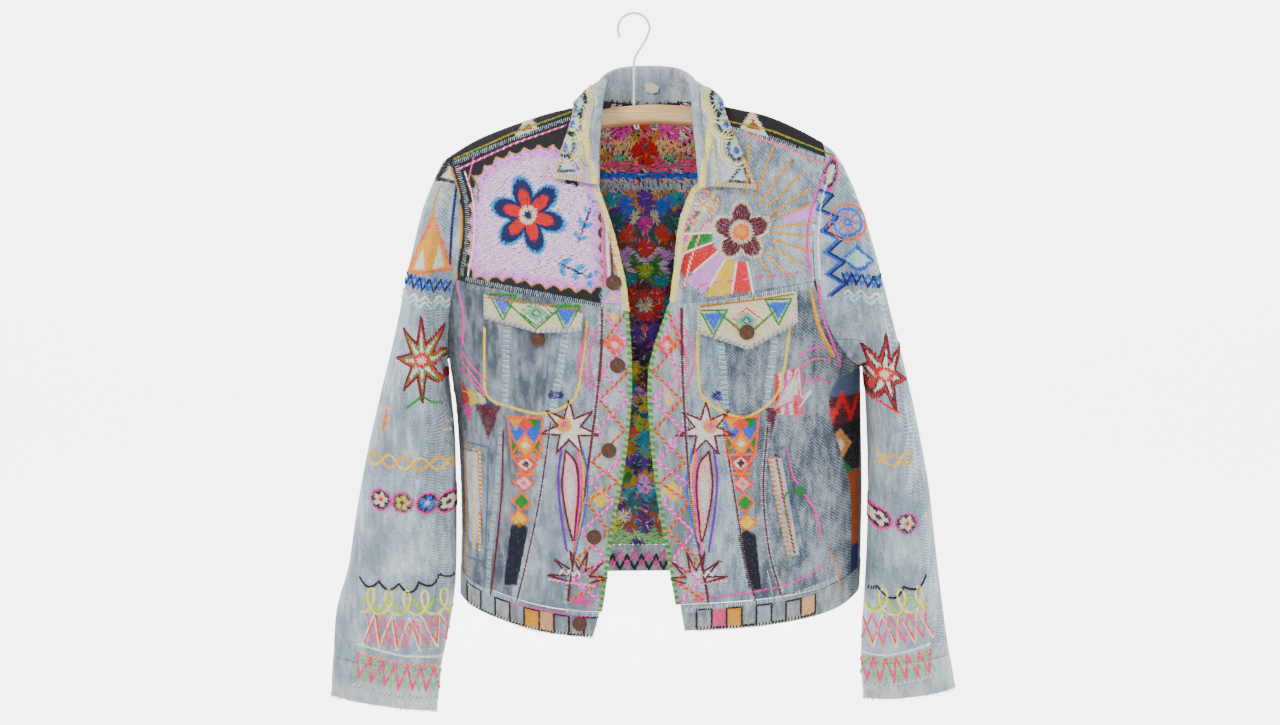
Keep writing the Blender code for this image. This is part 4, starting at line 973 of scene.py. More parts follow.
def net(names):
    """The skins of the named pieces, ready to have lines dropped on them."""
    verts, faces, count = [], [], 0
    for name in names:
        skin = SKINS[name][0]
        rows, columns = skin.shape[:2]
        j, i = (v.ravel() for v in np.meshgrid(np.arange(rows - 1), np.arange(columns - 1), indexing="ij"))
        a = j * columns + i + count
        verts += skin.reshape(-1, 3).tolist()
        faces += np.stack([a, a + 1, a + columns + 1, a + columns], axis=-1).tolist()
        count += rows * columns
    return BVHTree.FromPolygons(verts, faces)


def row(group, points, colours, pitch=2.6, length=5.6, width=3.6, height=1.7, turn=15, view="front", run=1,
        on=None, deep=1.9):
    """A line of stitches along points across and down; no colour leaves a gap."""
    points = np.array(points, float)
    reach = reach_along(points)
    s = np.arange(pitch / 2, reach[-1], pitch)
    x, down = (np.interp(s, reach, points[:, k]) for k in (0, 1))
    ahead = [np.interp(s + 1, reach, points[:, k]) - np.interp(s - 1, reach, points[:, k]) for k in (0, 1)]
    origin, way = {"front": (-400, 1), "back": (400, -1), "inside": (-8, 1)}[view]
    found, hits, outs = [], [], []
    for k in range(len(s)):
        hit, out, _, _ = (on or NET).ray_cast((x[k], origin, -down[k]), (0, way, 0))
        if hit is not None:
            found.append(k)
            hits.append(hit)
            outs.append(-out if out.y * way > 0 else out)
    if not found:
        return
    place, out = np.array(hits), np.array(outs)
    if view == "inside":
        place = place + out * deep
    ahead = np.stack([ahead[0][found], 0 * s[found], -ahead[1][found]], axis=-1)
    ahead = unit(ahead - out * (ahead * out).sum(axis=-1, keepdims=True))
    lean = np.radians(turn + LUCK.normal(0, 5, len(place)))[:, None]
    along = ahead * np.cos(lean) + np.cross(out, ahead) * np.sin(lean)
    picks = [colours] if isinstance(colours, str) else colours
    number = (np.array(found) // run) % len(picks)
    seen = np.array([picks[n] is not None for n in number])
    card = np.array([CARD[picks[n] or "black"] for n in number])
    lay(group, place[seen], out[seen], along[seen], length * LUCK.uniform(0.9, 1.15, seen.sum()), width,
        height,
        card[seen])


def reach_along(points):
    """How far each point is along its line."""
    return np.concatenate([[0], np.cumsum(np.hypot(*np.diff(points, axis=0).T))])


def bent(points, count=60):
    """A smooth line through points."""
    keyed = [(i, *p) for i, p in enumerate(points)]
    t = np.linspace(0, len(points) - 1, count)
    return np.stack([through(keyed, 1)(t), through(keyed, 2)(t)], axis=-1)


def swing(points, pitch, depth, kind="zigzag", start=0.0):
    """A zigzag, wave, row of scallops or row of loops that follows a line."""
    points = np.array(points, float)
    reach = reach_along(points)
    count = max(round(reach[-1] / pitch), 1)
    t = np.arange(0, count + 0.01, 0.5 if kind == "zigzag" else 0.05) + start
    s = (t - start) * reach[-1] / count
    side = {"zigzag": np.where(np.arange(len(t)) % 2, 1.0, -1.0), "wave": np.sin(2 * np.pi * t),
            "scallop": np.abs(np.sin(np.pi * t)), "loop": -np.cos(2 * np.pi * t)}[kind] * depth
    s2 = s + (np.sin(2 * np.pi * t) * pitch * 0.42 if kind == "loop" else 0)
    at = np.stack([np.interp(s2, reach, points[:, k]) for k in (0, 1)], axis=-1)
    ahead = np.stack([np.interp(s + 2, reach, points[:, k]) - np.interp(s - 2, reach, points[:, k])
                      for k in (0, 1)], axis=-1)
    ahead = ahead / np.maximum(np.linalg.norm(ahead, axis=-1, keepdims=True), 1e-6)
    return at + np.stack([ahead[:, 1], -ahead[:, 0]], axis=-1) * side[:, None]


def closed(points):
    return [*points, points[0]]


NET = net(SKINS)
BACK_NET = net(["back_centre", "back_side_L", "back_side_R", "back_yoke", "waistband"])


# The shapes that motifs are drawn with; each gives what it covers and how its stitches lean
def area(colour, *points, lean=0.0):
    def inside(x, down):
        hit = np.zeros(len(x), bool)
        px, pd = points[-1]
        for qx, qd in points:
            if qd != pd:
                hit ^= ((qd > down) != (pd > down)) & (x < (px - qx) * (down - qd) / (pd - qd) + qx)
            px, pd = qx, qd
        return hit, lean
    return [(colour, inside)]


def oval(colour, x0, down0, rx, ry=None, tilt=0.0, radial=True):
    ry, turn = ry or rx, math.radians(tilt)

    def inside(x, down):
        a, b = x - x0, down - down0
        p, q = a * math.cos(turn) + b * math.sin(turn), b * math.cos(turn) - a * math.sin(turn)
        return (p / rx) ** 2 + (q / ry) ** 2 < 1, np.arctan2(b, a) if radial else turn
    return [(colour, inside)]


def petals(colour, x0, down0, reach, waist, count, phase=0.0):
    """A round flower outline, scalloped between its waist and its reach."""
    def inside(x, down):
        a, b = x - x0, down - down0
        turn = np.arctan2(b, a)
        edge = waist + (reach - waist) * np.abs(np.cos((turn - math.radians(phase)) * count / 2))
        return np.hypot(a, b) < edge, turn
    return [(colour, inside)]


def wedge(colour, x0, down0, near, far, first, last):
    def inside(x, down):
        a, b = x - x0, down - down0
        turn = (np.degrees(np.arctan2(b, a)) - first) % 360
        reach = np.hypot(a, b)
        return (reach > near) & (reach < far) & (turn < last - first), np.arctan2(b, a)
    return [(colour, inside)]


def leaf(colour, x1, down1, x2, down2, width):
    ax, ad = x2 - x1, down2 - down1
    length = math.hypot(ax, ad)

    def inside(x, down):
        t = ((x - x1) * ax + (down - down1) * ad) / length ** 2
        off = ((x - x1) * ad - (down - down1) * ax) / length
        return (t > 0) & (t < 1) & (np.abs(off) < width / 2 * np.sin(np.pi * np.clip(t, 0,
                                                                     1)) ** 0.8), math.atan2(ad, ax)
    return [(colour, inside)]


def diamond(colour, x0, down0, half_wide, half_tall, lean=0.8):
    return area(colour, (x0, down0 - half_tall), (x0 + half_wide, down0), (x0, down0 + half_tall),
                (x0 - half_wide, down0), lean=lean)


def sprig(stem, leaf_colour, x1, down1, x2, down2, pairs, size):
    """A stem with pairs of leaves."""
    made = []
    ax, ad = x2 - x1, down2 - down1
    turn = math.atan2(ad, ax)
    for i in range(pairs):
        t = (i + 0.6) / pairs
        cx, cd = x1 + ax * t, down1 + ad * t
        for way in (-0.8, 0.8):
            made += leaf(leaf_colour, cx, cd, cx + size * math.cos(turn + way), cd
                         + size * math.sin(turn + way),
                         size * 0.42)
    return made + leaf(stem, x1, down1, x2, down2, 2.4)

# Felled seams
# Where panels join, the cloth is folded and sewn down, so the seam puckers into pale ridges
# with dark dips between them. They are sewn flat on the shoulders, yokes, armholes and V seams.
LADDER = dict(pitch=2.3, length=7.0, width=2.1, height=1.0, turn=84)
EDGING = dict(pitch=1.9, length=5.4, width=1.9, height=1.4, turn=78)
PUCKER = ("mist", "ice", "mist", "ice", "grey")
for line in (
    # shoulders, yokes and armholes
    ((-207, 168), (-136, 139), (-71, 116)), ((98, 125), (157, 139), (225, 166)),
    ((-191, 296), (-104, 310), (-41, 321), (-4, 328)), ((38, 324), (96, 319), (205, 301)),
    ((-202, 170), (-190, 209), (-189, 253), (-196, 295)), ((225, 168), (210, 203), (202, 247), (204, 295)),
    # V seams
    ((-152, 464), (-158, 543), (-167, 614), (-171, 669)), ((-94, 451), (-107, 543), (-122, 614), (-138, 676)),
    ((98, 455), (111, 520), (125, 614), (138, 669)), ((153, 455), (147, 532), (157, 614), (172, 659)),
    # placket seams and the waist
    ((-35, 334), (-40, 405), (-46, 485), (-59, 567), (-69, 621), (-80, 669)),
    ((55, 334), (55, 405), (59, 474), (66, 555), (77, 638), (83, 666)),
    ((-198, 657), (-149, 666), (-82, 676), (-40, 681)), ((47, 676), (96, 671), (174, 662), (237, 647)),
):
    row("felled_seams", bent(line), PUCKER, **LADDER)
for line in (((-205, 206), (0, 206), (204, 206)), [(x, d) for d, x in VEE_BACK_L],
             [(x, d) for d, x in VEE_BACK_R], [(-180, 640), (0, 648), (180, 636)]):
    row("felled_seams", bent(line), PUCKER, **LADDER, view="back", on=BACK_NET)
sew("felled_seams")

# Back yoke stitches
# The whole yoke is worked solid in black, with small cream triangles along its front edge.
fills("back_yoke_stitches", ["back_yoke"], area("black", (-260, 0), (260, 0), (260, 260), (-260, 260),
                                                lean=1.2)
      + area("cream", (-136, 138), (-120, 115), (-107, 128))
      + area("rust", (-129, 132), (-120, 123), (-113, 128))
      + area("cream", (120, 128), (135, 106), (152, 138)) + area("rust", (128, 127), (135, 117), (143, 130)),
      room=2.6, length=6, width=1.6)
fills("back_yoke_stitches_behind", ["back_yoke"],
      area("black", (-260, 0), (260, 0), (260, 260), (-260, 260), lean=1.3), room=9, length=8, width=2.0,
      view="back")
for colour, shift in (("green", 0), ("mustard", 4)):
    row("shoulder_lines", [(-205, 163), (-136, 133), (-71, 110)], colour, pitch=2.5)
    row("shoulder_lines", [(98, 118), (157, 131), (228, 159)], colour, pitch=2.5)
row("shoulder_lines", [(-202, 175), (-136, 145), (-75, 124)], ("pink", "pink", "cream"))
row("shoulder_lines", [(121, 133), (163, 146), (221, 170)], ("pink", "apricot"))

# Left yoke stitches
# A big flower and two leafy stems lie on a lilac ground with a wavy edge, set into black.
# The strip beside the front edge stays bare denim with fine lines.
def frill(points, pitch, depth):
    """A closed outline whose sides swing in scallops."""
    return swing(bent(closed(points), 200), pitch, -depth, "scallop")


GROUND = [(-182, 181), (-149, 157), (-87, 146), (-41, 177), (-35, 247), (-36, 303), (-87, 305),
          (-140, 297), (-185, 292), (-188, 232)]
wavy = frill(GROUND, 17, 5)
fills("left_yoke", ["front_yoke_L"],
      area("black", (-216, 116), (-36, 116), (-36, 328), (-216, 328), lean=1.0)
      + area("lilac", *wavy, lean=0.5)
      + area("heather", *(0.86 * wavy + 0.14 * np.array((-111, 230))), lean=-0.4)
      + petals("sky", -118, 223, 45, 25, 6, 15) + petals("navy", -118, 223, 41, 19, 6, 15)
      + petals("red", -118, 223, 29, 9, 6, 15) + oval("cream", -118, 223, 10) + oval("navy", -118, 223, 5)
      + sprig("navy", "sky", -91, 272, -46, 292, 3, 15) + sprig("navy", "sky", -64, 258, -44, 203, 4, 12)
      + petals("navy", -67, 181, 11, 6, 5) + oval("red", -67, 181, 5), room=2.2, width=1.4)
row("left_yoke", closed(wavy.tolist()), ("mustard", "tan"), pitch=2.4, length=4.4, width=2.2)
row("left_yoke", closed((0.88 * wavy + 0.12 * np.array((-111, 230))).tolist()), "lilac", pitch=2.5)
for colour, shift in (("pink", 0), ("white", 4), ("maroon", 8)):
    row("left_yoke", [(-34 + shift, 216), (-33 + shift, 262), (-31 + shift, 300)], colour, pitch=2.5)
row("left_yoke", swing([(-31, 199), (-24, 247), (-13, 299)], 16, 4, "wave"), ("orange", "brown"))
fills("left_yoke_strip", ["front_yoke_L"], area("lilac", (-34, 319), (-22, 299), (-10, 318))
      + area("blush", (-29, 315), (-22, 305), (-16, 315)))
row("left_yoke", [(-34, 192), (-28, 219), (-19, 256), (-9, 303), (-3, 328)], ("straw", "white"), **EDGING)

# Right yoke stitches
# A maroon flower on bare denim sends gold lines out to the edges, with a fan of solid wedges.
fan = [("yellow", 100, 120), ("lilac", 122, 140), ("red", 142, 160), ("green", 162, 178), ("blush", 180, 198),
       ("scarlet", 80, 98)]
heart = 120, 241
fills("right_yoke", ["front_yoke_R"],
      sum((wedge(colour, *heart, 34, 80, first, last) for colour, first, last in fan), [])
      + wedge("lilac", *heart, 50, 98, -19, -9) + wedge("yellow", *heart, 44, 62, 200, 214)
      + area("lilac", (39, 310), (47, 296), (54, 310))
      + petals("cream", *heart, 34, 20, 5, -90) + petals("maroon", *heart, 31, 17, 5, -90)
      + oval("cream", *heart, 13) + oval("orange", *heart, 10) + oval("gold", *heart, 5), room=1.9)
for turn, near, far in ((-84, 40, 98), (-68, 38, 100), (-54, 36, 98), (-42, 38, 96), (-30, 38, 92),
                        (-20, 38, 88),
                        (-6, 38, 84), (4, 36, 82), (16, 38, 84), (28, 38, 80), (42, 36, 78), (56, 38, 60),
                        (216, 38, 60), (228, 38, 66)):
    way = math.cos(math.radians(turn)), math.sin(math.radians(turn))
    ray = [(heart[0] + way[0] * k, heart[1] + way[1] * k) for k in np.linspace(near, far, 12)]
    row("right_yoke", swing(ray, 34, 0.4, "wave"), ("gold", "mustard"), width=3.0)
for colour, first, last in fan:
    turn = math.radians(first - 1)
    row("right_yoke", [(heart[0] + math.cos(turn) * k, heart[1] + math.sin(turn) * k) for k in (34, 68)],
        "white", pitch=2.5)
row("right_yoke", [(92, 194), (82, 212), (67, 234), (54, 265), (42, 303), (36, 323)], ("straw", "cream"),
    **EDGING)
row("right_yoke", [(96, 203), (87, 219), (74, 241), (63, 272), (56, 301)], ("coral", "white"), pitch=2.5)
row("right_yoke", [(74, 299), (118, 294), (185, 287)], ("pink", None), run=3)
fills("turned_corner_stitches", ["turned_corner"],
      petals("white", 75, 212, 8, 4, 5) + petals("red", 66, 228, 6, 3, 5) + petals("pink", 62, 246, 7, 4, 5)
      + oval("yellow", 75, 212, 2.5) + oval("cream", 66, 228, 2.5) + oval("yellow", 62, 246, 2.5)
      + oval("green", 70, 220, 3) + oval("green", 60, 236, 3) + oval("coral", 56, 260, 4), room=1.7,
      length=3.6)
row("turned_corner_stitches", [(84, 194), (71, 212), (55, 238), (42, 278)], ("pink", "white", "coral"),
    **EDGING)

# Stitches on the armholes
# Rows of white, pink, green and mustard follow the armholes.
for points, colour in (
    ([(-192, 177), (-182, 209), (-181, 253), (-188, 292)], "white"),
    ([(-185, 179), (-177, 192), (-176, 209)], "green"),
    ([(-208, 173), (-197, 209), (-196, 253), (-202, 297)], "mustard"),
    ([(-202, 303), (-194, 337), (-196, 371)], "pink"),
    ([(219, 177), (203, 208), (195, 247), (198, 292)], "pink"),
    ([(228, 170), (214, 203), (208, 247), (210, 296)], "white"),
    ([(209, 303), (214, 337), (228, 373), (237, 396)], "pink"),
    ([(199, 305), (208, 348), (225, 384)], "mustard"),
    ([(199, 305), (210, 348), (228, 384)], "gold"), ([(-182, 159), (-189, 192)], "pink"),
):
    row("armhole_lines", bent(points), colour, pitch=2.5)


def rim(name, where, inset=0.35):
    """A line just inside one edge of a piece."""
    grid = SKINS[name][0]
    edge, next_to = {"low": (grid[-1], grid[-2]), "top": (grid[0], grid[1]), "left": (grid[:, 0], grid[:, 1]),
                     "right": (grid[:, -1], grid[:, -2])}[where]
    line = blend(edge, next_to, inset)
    return np.stack([line[:, 0], -line[:, 2]], axis=-1)


# Neck edges
# The raw edges of both yokes are whipped over with thick cream and straw yarn.
for name, where in (("front_yoke_L", "left"), ("front_yoke_R", "left")):
    for inset, colours in ((0.15, ("straw", "cream", "straw")), (0.6, ("cream", "straw"))):
        row("neck_whipping", rim(name, where, inset), colours, pitch=1.7, length=6.5, width=2.6, height=2.2,
            turn=66)

# Flaps and pockets
# Cream flaps with green and blue drops and a diamond; yellow lines shape the pockets below.
for side, top, drops, gem in (
    ("L", ((-165, 311), (-58, 324)), ((-147, 323), (-75, 334)), (-109, 331)),
    ("R", ((74, 319), (180, 307)), ((89, 338), (162, 327)), (126, 339)),
):
    halo = "green" if side == "L" else "coral"
    motifs = area("cream", (-400, 0), (400, 0), (400, 900), (-400, 900), lean=0.3)
    for x, down in drops:
        motifs += area("blue", (x - 12, down - 8), (x + 12, down - 8), (x, down + 12), lean=1.5)
    motifs += (diamond(halo, *gem, 20, 15) + diamond("white", *gem, 17, 12.5) + diamond("sage", *gem, 14, 10)
               + diamond("teal", *gem, 7, 5) + diamond("cream", *gem, 3, 2.5))
    fills("flap_stitches", [f"pocket_flap_{side}"], motifs, room=1.6, length=4.2)
    for where, colour in (("low", ("grey", "cream", "mist")), ("left", ("cream", "grey")),
                          ("right", ("mist", "cream"))):
        row("flap_stitches", rim(f"pocket_flap_{side}", where), colour, pitch=2.0, length=5.4, width=2.4,
            height=2.2,
            turn=62)
    row("flap_stitches", [(x, d + 4) for x, d in top], ("coral", "green"), pitch=2.5)
    for x, down in drops:
        row("flap_stitches", [(x - 15, down - 11), (x + 15, down - 11), (x, down + 17), (x - 15, down - 11)],
            "green", pitch=2.5)
    x, down = gem
    row("flap_stitches", [(x - 34, down - 12), (x, down + 18), (x + 34, down - 12)], "green", pitch=2.5)
row("pocket_lines", bent([(-169, 351), (-170, 393), (-167, 430), (-138, 441), (-103, 446), (-69, 430),
                          (-58, 393), (-52, 339)]),
    "yellow", pitch=2.5)
row("pocket_lines", bent([(71, 352), (72, 393), (76, 423), (98, 441), (127, 449), (159, 428), (170, 393),
                          (176, 346)]),
    "yellow", pitch=2.5)
for line, way in ((((-143, 348), (-146, 439)), 1), (((-74, 346), (-91, 444)), -1),
                  (((98, 364), (104, 439)), 1),
                  (((159, 359), (150, 437)), -1)):
    row("pocket_seams", line, ("mist", "grey", "ice"), pitch=1.9, length=9, width=2.1, height=0.8, turn=86)
    row("pocket_seams", [(x + 7 * way, d) for x, d in line], "slate", pitch=3.2, width=1.3, height=0.7)
sew("pocket_seams")

for line in ([(-49, 346), (-58, 382), (-46, 418)], [(-41, 346), (-50, 384), (-40, 423)],
             [(-54, 352), (-63, 389), (-53, 414)],
             [(49, 346), (59, 382), (50, 418)], [(58, 348), (67, 384), (58, 421)]):
    row("pocket_lines", bent(line), ("pink", "rose"), width=2.4)

# Stitches on the V panels
# A chain of triangles and diamonds runs down each V and ends in a long navy point.
for x, downs, wide, foot in ((-123, (452, 484, 506, 528, 550, 571, 582, 650), -1, -143),
                             (121, (449, 479, 502, 526, 548, 571, 587, 651), 1, 139)):
    top, d1, d2, d3, d4, d5, point, end = downs
    x2, x3, x4 = (x + (foot - x) * share for share in (0.12, 0.28, 0.42))
    fills("v_chains", ["front_middle_L", "front_middle_R", "front_centre_L", "front_centre_R"],
          area("blue", (x - 20, top), (x + 19, top), (x + 10, top + 34), (x - 10, top + 34))
          + area("gold", (x - 19, top), (x - 3, top), (x - 11, top + 16))
          + area("green", (x + 3, top), (x + 19, top), (x + 10, top + 14))
          + area("coral", (x - 9, top + 8), (x, top - 2), (x + 9, top + 8), (x, top + 16))
          + diamond("gold", x, d1, 14, 13) + area("green", (x - 16, d1 - 8), (x - 8, d1 + 4),
                                                  (x - 16, d1 + 14))
          + area("green", (x + 16, d1 - 8), (x + 8, d1 + 4), (x + 16, d1 + 14))
          + diamond("white", x, d1, 5, 4)
          + diamond("scarlet", x, d2, 14, 12) + diamond("white", x, d2, 9, 8) + diamond("maroon", x, d2, 5, 5)
          + diamond("coral", x2, d3, 13, 11.5) + diamond("blush", x2, d3, 9, 8)
          + diamond("rose", x2, d3, 4, 4)
          + diamond("orange", x3, d4, 13, 11.5) + diamond("green", x3, d4, 9.5, 8.5)
          + diamond("orange", x4, d5, 13, 11) + diamond("yellow", x4, d5, 9.5, 8.5), room=1.5, length=4)
    fills("v_points", ["front_middle_L", "front_middle_R", "front_centre_L", "front_centre_R"],
          area("ink", (x4 - 10, point), (x4, point - 8), (x4 + 10, point), (foot + 7, end), (foot - 7, end),
               lean=1.5), room=1.15, length=5)
    for outline in ([(x - 20, top), (x + 20, top), (x + 16, d1 + 12), (x, d2 + 14), (x - 16, d1 + 12),
                     (x - 20, top)],
                    [(x - 17, d1 - 12), (x, d1 + 15), (x + 17, d1 - 12)], [(x - 17, d1 + 14), (x, d1 - 15),
                                                                         (x + 17, d1 + 14)]):
        row("v_chains", outline, ("orange", "coral"), pitch=2.5)
    for d in (d1 + 13, d2 + 12):
        row("v_chains", [(x - 13, d), (x + 13, d)], "orange", pitch=2.5)
for line in ([(-94, 456), (-107, 543), (-122, 614), (-136, 671)],
             [(-149, 469), (-152, 543), (-160, 614), (-167, 666)]):
    row("v_lines", bent(line), "maroon", width=2.7)
for line in ([(101, 460), (113, 532), (127, 614), (141, 669)],
             [(151, 460), (147, 532), (154, 602), (170, 662)]):
    row("v_lines", bent(line), "maroon", width=2.7)

# Stitches on the front bands
# Pink and brown zigzags cross each other down both bands, with a few solid diamonds.
BAND_TURNS = (332, 362, 397, 428, 463, 500, 523, 546, 581, 614, 640, 664)
for edge_at, seam_at, way in ((through(EDGE_L), through(BAND_L), -1), (through(EDGE_R), through(BAND_R), 1)):
    for first, colour in ((0, ("pink", "lilac", "pink")), (1, ("brown", "tan", "coral"))):
        points = [((edge_at(d) + 5 * way) if (k + first) % 2 else (seam_at(d) - 4 * way), d)
                  for k, d in enumerate(BAND_TURNS)]
        row("band_stitches", points, colour, pitch=2.5)
    row("band_stitches", [(seam_at(d) - 1 * way, d) for d in np.arange(325, 668, 20)], "maroon",
        pitch=2.5, width=4.2)
    row("band_stitches", [(edge_at(d) + 2.2 * way, d) for d in np.arange(322, 704, 12)],
        ("green", "lime", "mint", "green"), **EDGING)
fills("band_fills", ["front_band_L", "front_band_R"],
      diamond("coral", -21, 366, 13, 13) + diamond("blush", -21, 366, 5, 5)
      + diamond("coral", 37, 366, 13, 13)
      + diamond("blush", 37, 366, 5, 5) + diamond("yellow", -38, 541, 12, 12)
      + diamond("yellow", 44, 533, 12, 12)
      + diamond("yellow", -22, 334, 5, 6) + area("pink", (-73, 668), (-61, 654), (-49, 668))
      + area("rose", (65, 664), (77, 652), (89, 664)) + diamond("lilac", -33, 427, 6, 8)
      + diamond("peach", 40, 428, 6, 8) + diamond("sage", -33, 480, 6, 8) + diamond("lilac", 42, 480, 7, 8),
      room=1.7, length=4)

# Stitches on the centre panels
# Each has a pointed star on a long stem of white and pink with a gold eye, and a maroon burst.
for way, x0, x1 in ((-1, -73, 0), (1, 81, 0)):
    def at(off, down):
        return x0 - way * off, down

    star = []
    for k in range(14):
        reach, turn = (33 if k % 2 == 0 else 13), math.radians(-90 + k * 180 / 7)
        star.append(at(math.cos(turn) * reach, 462 + math.sin(turn) * reach * 0.95))
    stem = [at(-4, 488), at(7, 502), at(10, 530), at(7, 566), at(4, 592), at(-3, 566), at(-8, 528)]
    fills("centre_panels", ["front_centre_L", "front_centre_R"],
          area("white", *star, lean=1.2) + area("blush", *stem, lean=1.4) + oval("gold", *at(-6, 458), 9)
          + oval("pink", *at(-6, 458), 4) + area("white",
                                                 *((0.5 * np.array(stem) + 0.5 * np.array(at(1, 534))))
                                                 .tolist())
          + oval("navy", *at(-15, 424), 9, 5) + oval("violet", *at(-15, 424), 4, 2.5), room=1.7, length=4.5)
    row("centre_panels", closed(star), "maroon", pitch=2.5)
    row("centre_panels", closed(bent(closed(stem)).tolist()), "maroon", pitch=2.5)
    for off, colour in ((13, "pink"), (17, "gold"), (-13, "violet"), (21, "cornflower")):
        row("centre_panels", bent([at(off * 0.7, 486), at(off, 520), at(off * 0.8, 560), at(off * 0.3, 606)]),
            colour, pitch=2.5)
    burst = []
    for k in range(13):
        reach, turn = (36 if k % 2 else 13), math.radians(172 + k * 16.4)
        burst.append(at(math.cos(turn) * reach + 10, 640 + math.sin(turn) * reach))
    row("centre_panels", burst, "maroon", width=2.8)
    row("centre_panels", [at(30, 646), at(-24, 640)], ("pink", "cream"), pitch=2.5)
    row("centre_panels", swing([at(-12, 630), at(12, 632)], 8, 3, "zigzag"), "white", pitch=2.5)

# Waistband stitches
# Black stitches step up and down the band, with a few solid squares, over a puckered seam.
def meander(x1, x2, low, high, pitch):
    points, x, up = [], x1, False
    while x < x2:
        points += [(x, high if up else low), (x, low if up else high)]
        x, up = x + pitch / 2, not up
    return points


def along_waist(points):
    """Points given by share of the waistband's height."""
    return [(x, float(WAIST_DOWN(angle_of(x, 690)) * (x < 16)
                      + WAIST_DOWN(angle_of(x, 690) - 360) * (x >= 16))
             + 0.8 + 31 * share) for x, share in points]


for x1, x2 in ((-196, -40), (72, 212)):
    row("waist_stitches", along_waist(meander(x1, x2, 0.92, 0.2, 34.6)), "black", width=3.0)
    row("waist_stitches", along_waist([(x, 0.96) for x in (x1, (x1 + x2) / 2, x2)]), ("black", "cream"),
        **EDGING)
fills("waist_fills", ["waistband"], sum((area(colour,
                                              *along_waist([(x1, 0.2), (x2, 0.2), (x2, 0.88), (x1, 0.88)]))
                                         for colour, x1, x2 in (("gold", -126, -110), ("peach", -108, -93),
                                                                ("rose", 90, 106), ("gold", 107.5, 123),
                                                                ("peach", 194, 209), ("mist", -178, -163),
                                                                ("mist", 142, 157))), []), room=1.7, length=4)

# Collar stitches
# Pale denim with a peach whipped edge, a scalloped yellow line and black-edged half rounds.
COLLAR = SKINS["collar"][0]
for way, rows in ((-1, range(0, 42)), (1, range(120, 78, -1))):
    def across(column):
        return np.array([(COLLAR[r, column, 0], -COLLAR[r, column, 2]) for r in rows])

    end = COLLAR[rows[0], 14:]
    row("collar_stitches", blend(across(-1), across(-2), 0.5), ("apricot", "peach", "cream"), **EDGING)
    row("collar_stitches", [(x, -z - 3) for x, _, z in end], ("apricot", "cream"), **EDGING)
    edge = across(-1)
    for r in (11, 20, 29, 37):
        x, d = across(-2)[r]
        ahead = unit(edge[min(r + 2, 41)] - edge[r - 2])
        inward = np.array([-ahead[1], ahead[0]])
        inward = inward if inward[0] * way < 0 else -inward
        fills("collar_fills", ["collar"], oval("black", x, d, 12, 15) + oval("ice", x, d, 8.5, 11.5)
              + oval("cornflower", x, d + 4, 4, 5), room=2.2, length=3.8)
        for reach, colour in ((17, "straw"), (20.5, "cream")):
            arc = [np.array([x, d]) + inward * reach * math.cos(k) + ahead * reach * 1.12 * math.sin(k)
                   for k in np.linspace(-1.5, 1.5, 16)]
            row("collar_stitches", arc, colour, width=2.8)
    x, d = across(-1)[0]
    points = np.array([(x - way * 6, d - 6), (x - way * 34, d - 8), (x - way * 16, d - 30)])
    small = (points * 0.6 + points.mean(axis=0) * 0.4).tolist()
    fills("collar_fills", ["collar"], area("black", *points.tolist()) + area("ice", *small), room=1.8,
          length=3.8)
    row("collar_stitches", across(-10)[:16], ("mint", "straw", "peach"), width=2.2)

# Sleeve stitches
# From the shoulder down: a dark triangle, a skirt and a wheel, a star, a gold cable, small
# shapes with pink halos, black scallops, yellow loops and red zigzags above the cuff.
STAR_SLIM = 0.62


def star(colour, x0, d0, far, near, points):
    turns = [math.radians(-90 + k * 180 / points) for k in range(points * 2)]
    return area(colour, *[(x0 + math.cos(t) * (near if k % 2 else far) * STAR_SLIM,
                           d0 + math.sin(t) * (near if k % 2 else far)) for k, t in enumerate(turns)],
                           lean=1.2)


def ring_of(x0, d0, far, near=None, points=24):
    slim = STAR_SLIM if near else 1
    return [(x0 + math.cos(math.radians(-90 + k * 180 / points)) * (near if near and k % 2 else far) * slim,
             d0 + math.sin(math.radians(-90 + k * 180 / points)) * (near if near and k % 2 else far))
            for k in range(points * 2 + 1)]


def small_flowers(*spots):
    """Five-petalled flowers on black rounds with pink halos: place, petals and heart."""
    made = []
    for (x, d), colour, heart_colour in spots:
        made += oval("pink", x, d, 13) + oval("black", x, d, 11) + petals(colour, x, d, 9, 5, 5)
        made += oval(heart_colour, x, d, 3)
    return made


def layered_star(x0, d0, points, *layers):
    """Stars of falling size on one centre, with a red and cream eye."""
    made = sum((star(colour, x0, d0, far, near, points) for colour, far, near in layers), [])
    return made + oval("red", x0, d0, 9) + oval("cream", x0, d0, 5)


def crossed(points, pitch, depth, colour, other):
    """Two rows of zigzag that cross each other."""
    return (swing(points, pitch, depth), colour), (swing(points, pitch, -depth), other)


def lower_rows(cable, cloud, loops, swell, tall, teeth):
    """The rows that both sleeves share, from the gold cable down to the red zigzags."""
    return ((swing(cable, 40, 7, "wave"), "gold"), (swing(cable, 40, -7, "wave"), "yellow"),
            (swing(cloud, 26, -9, "scallop"), "black"), (swing(loops, 21, 16, "loop"), "straw"),
            (swing(swell, 30, 9, "wave"), "lime"), (swing(tall, 21, 21), "white"),
            *crossed(teeth, 21, 18, "coral", "rose"))


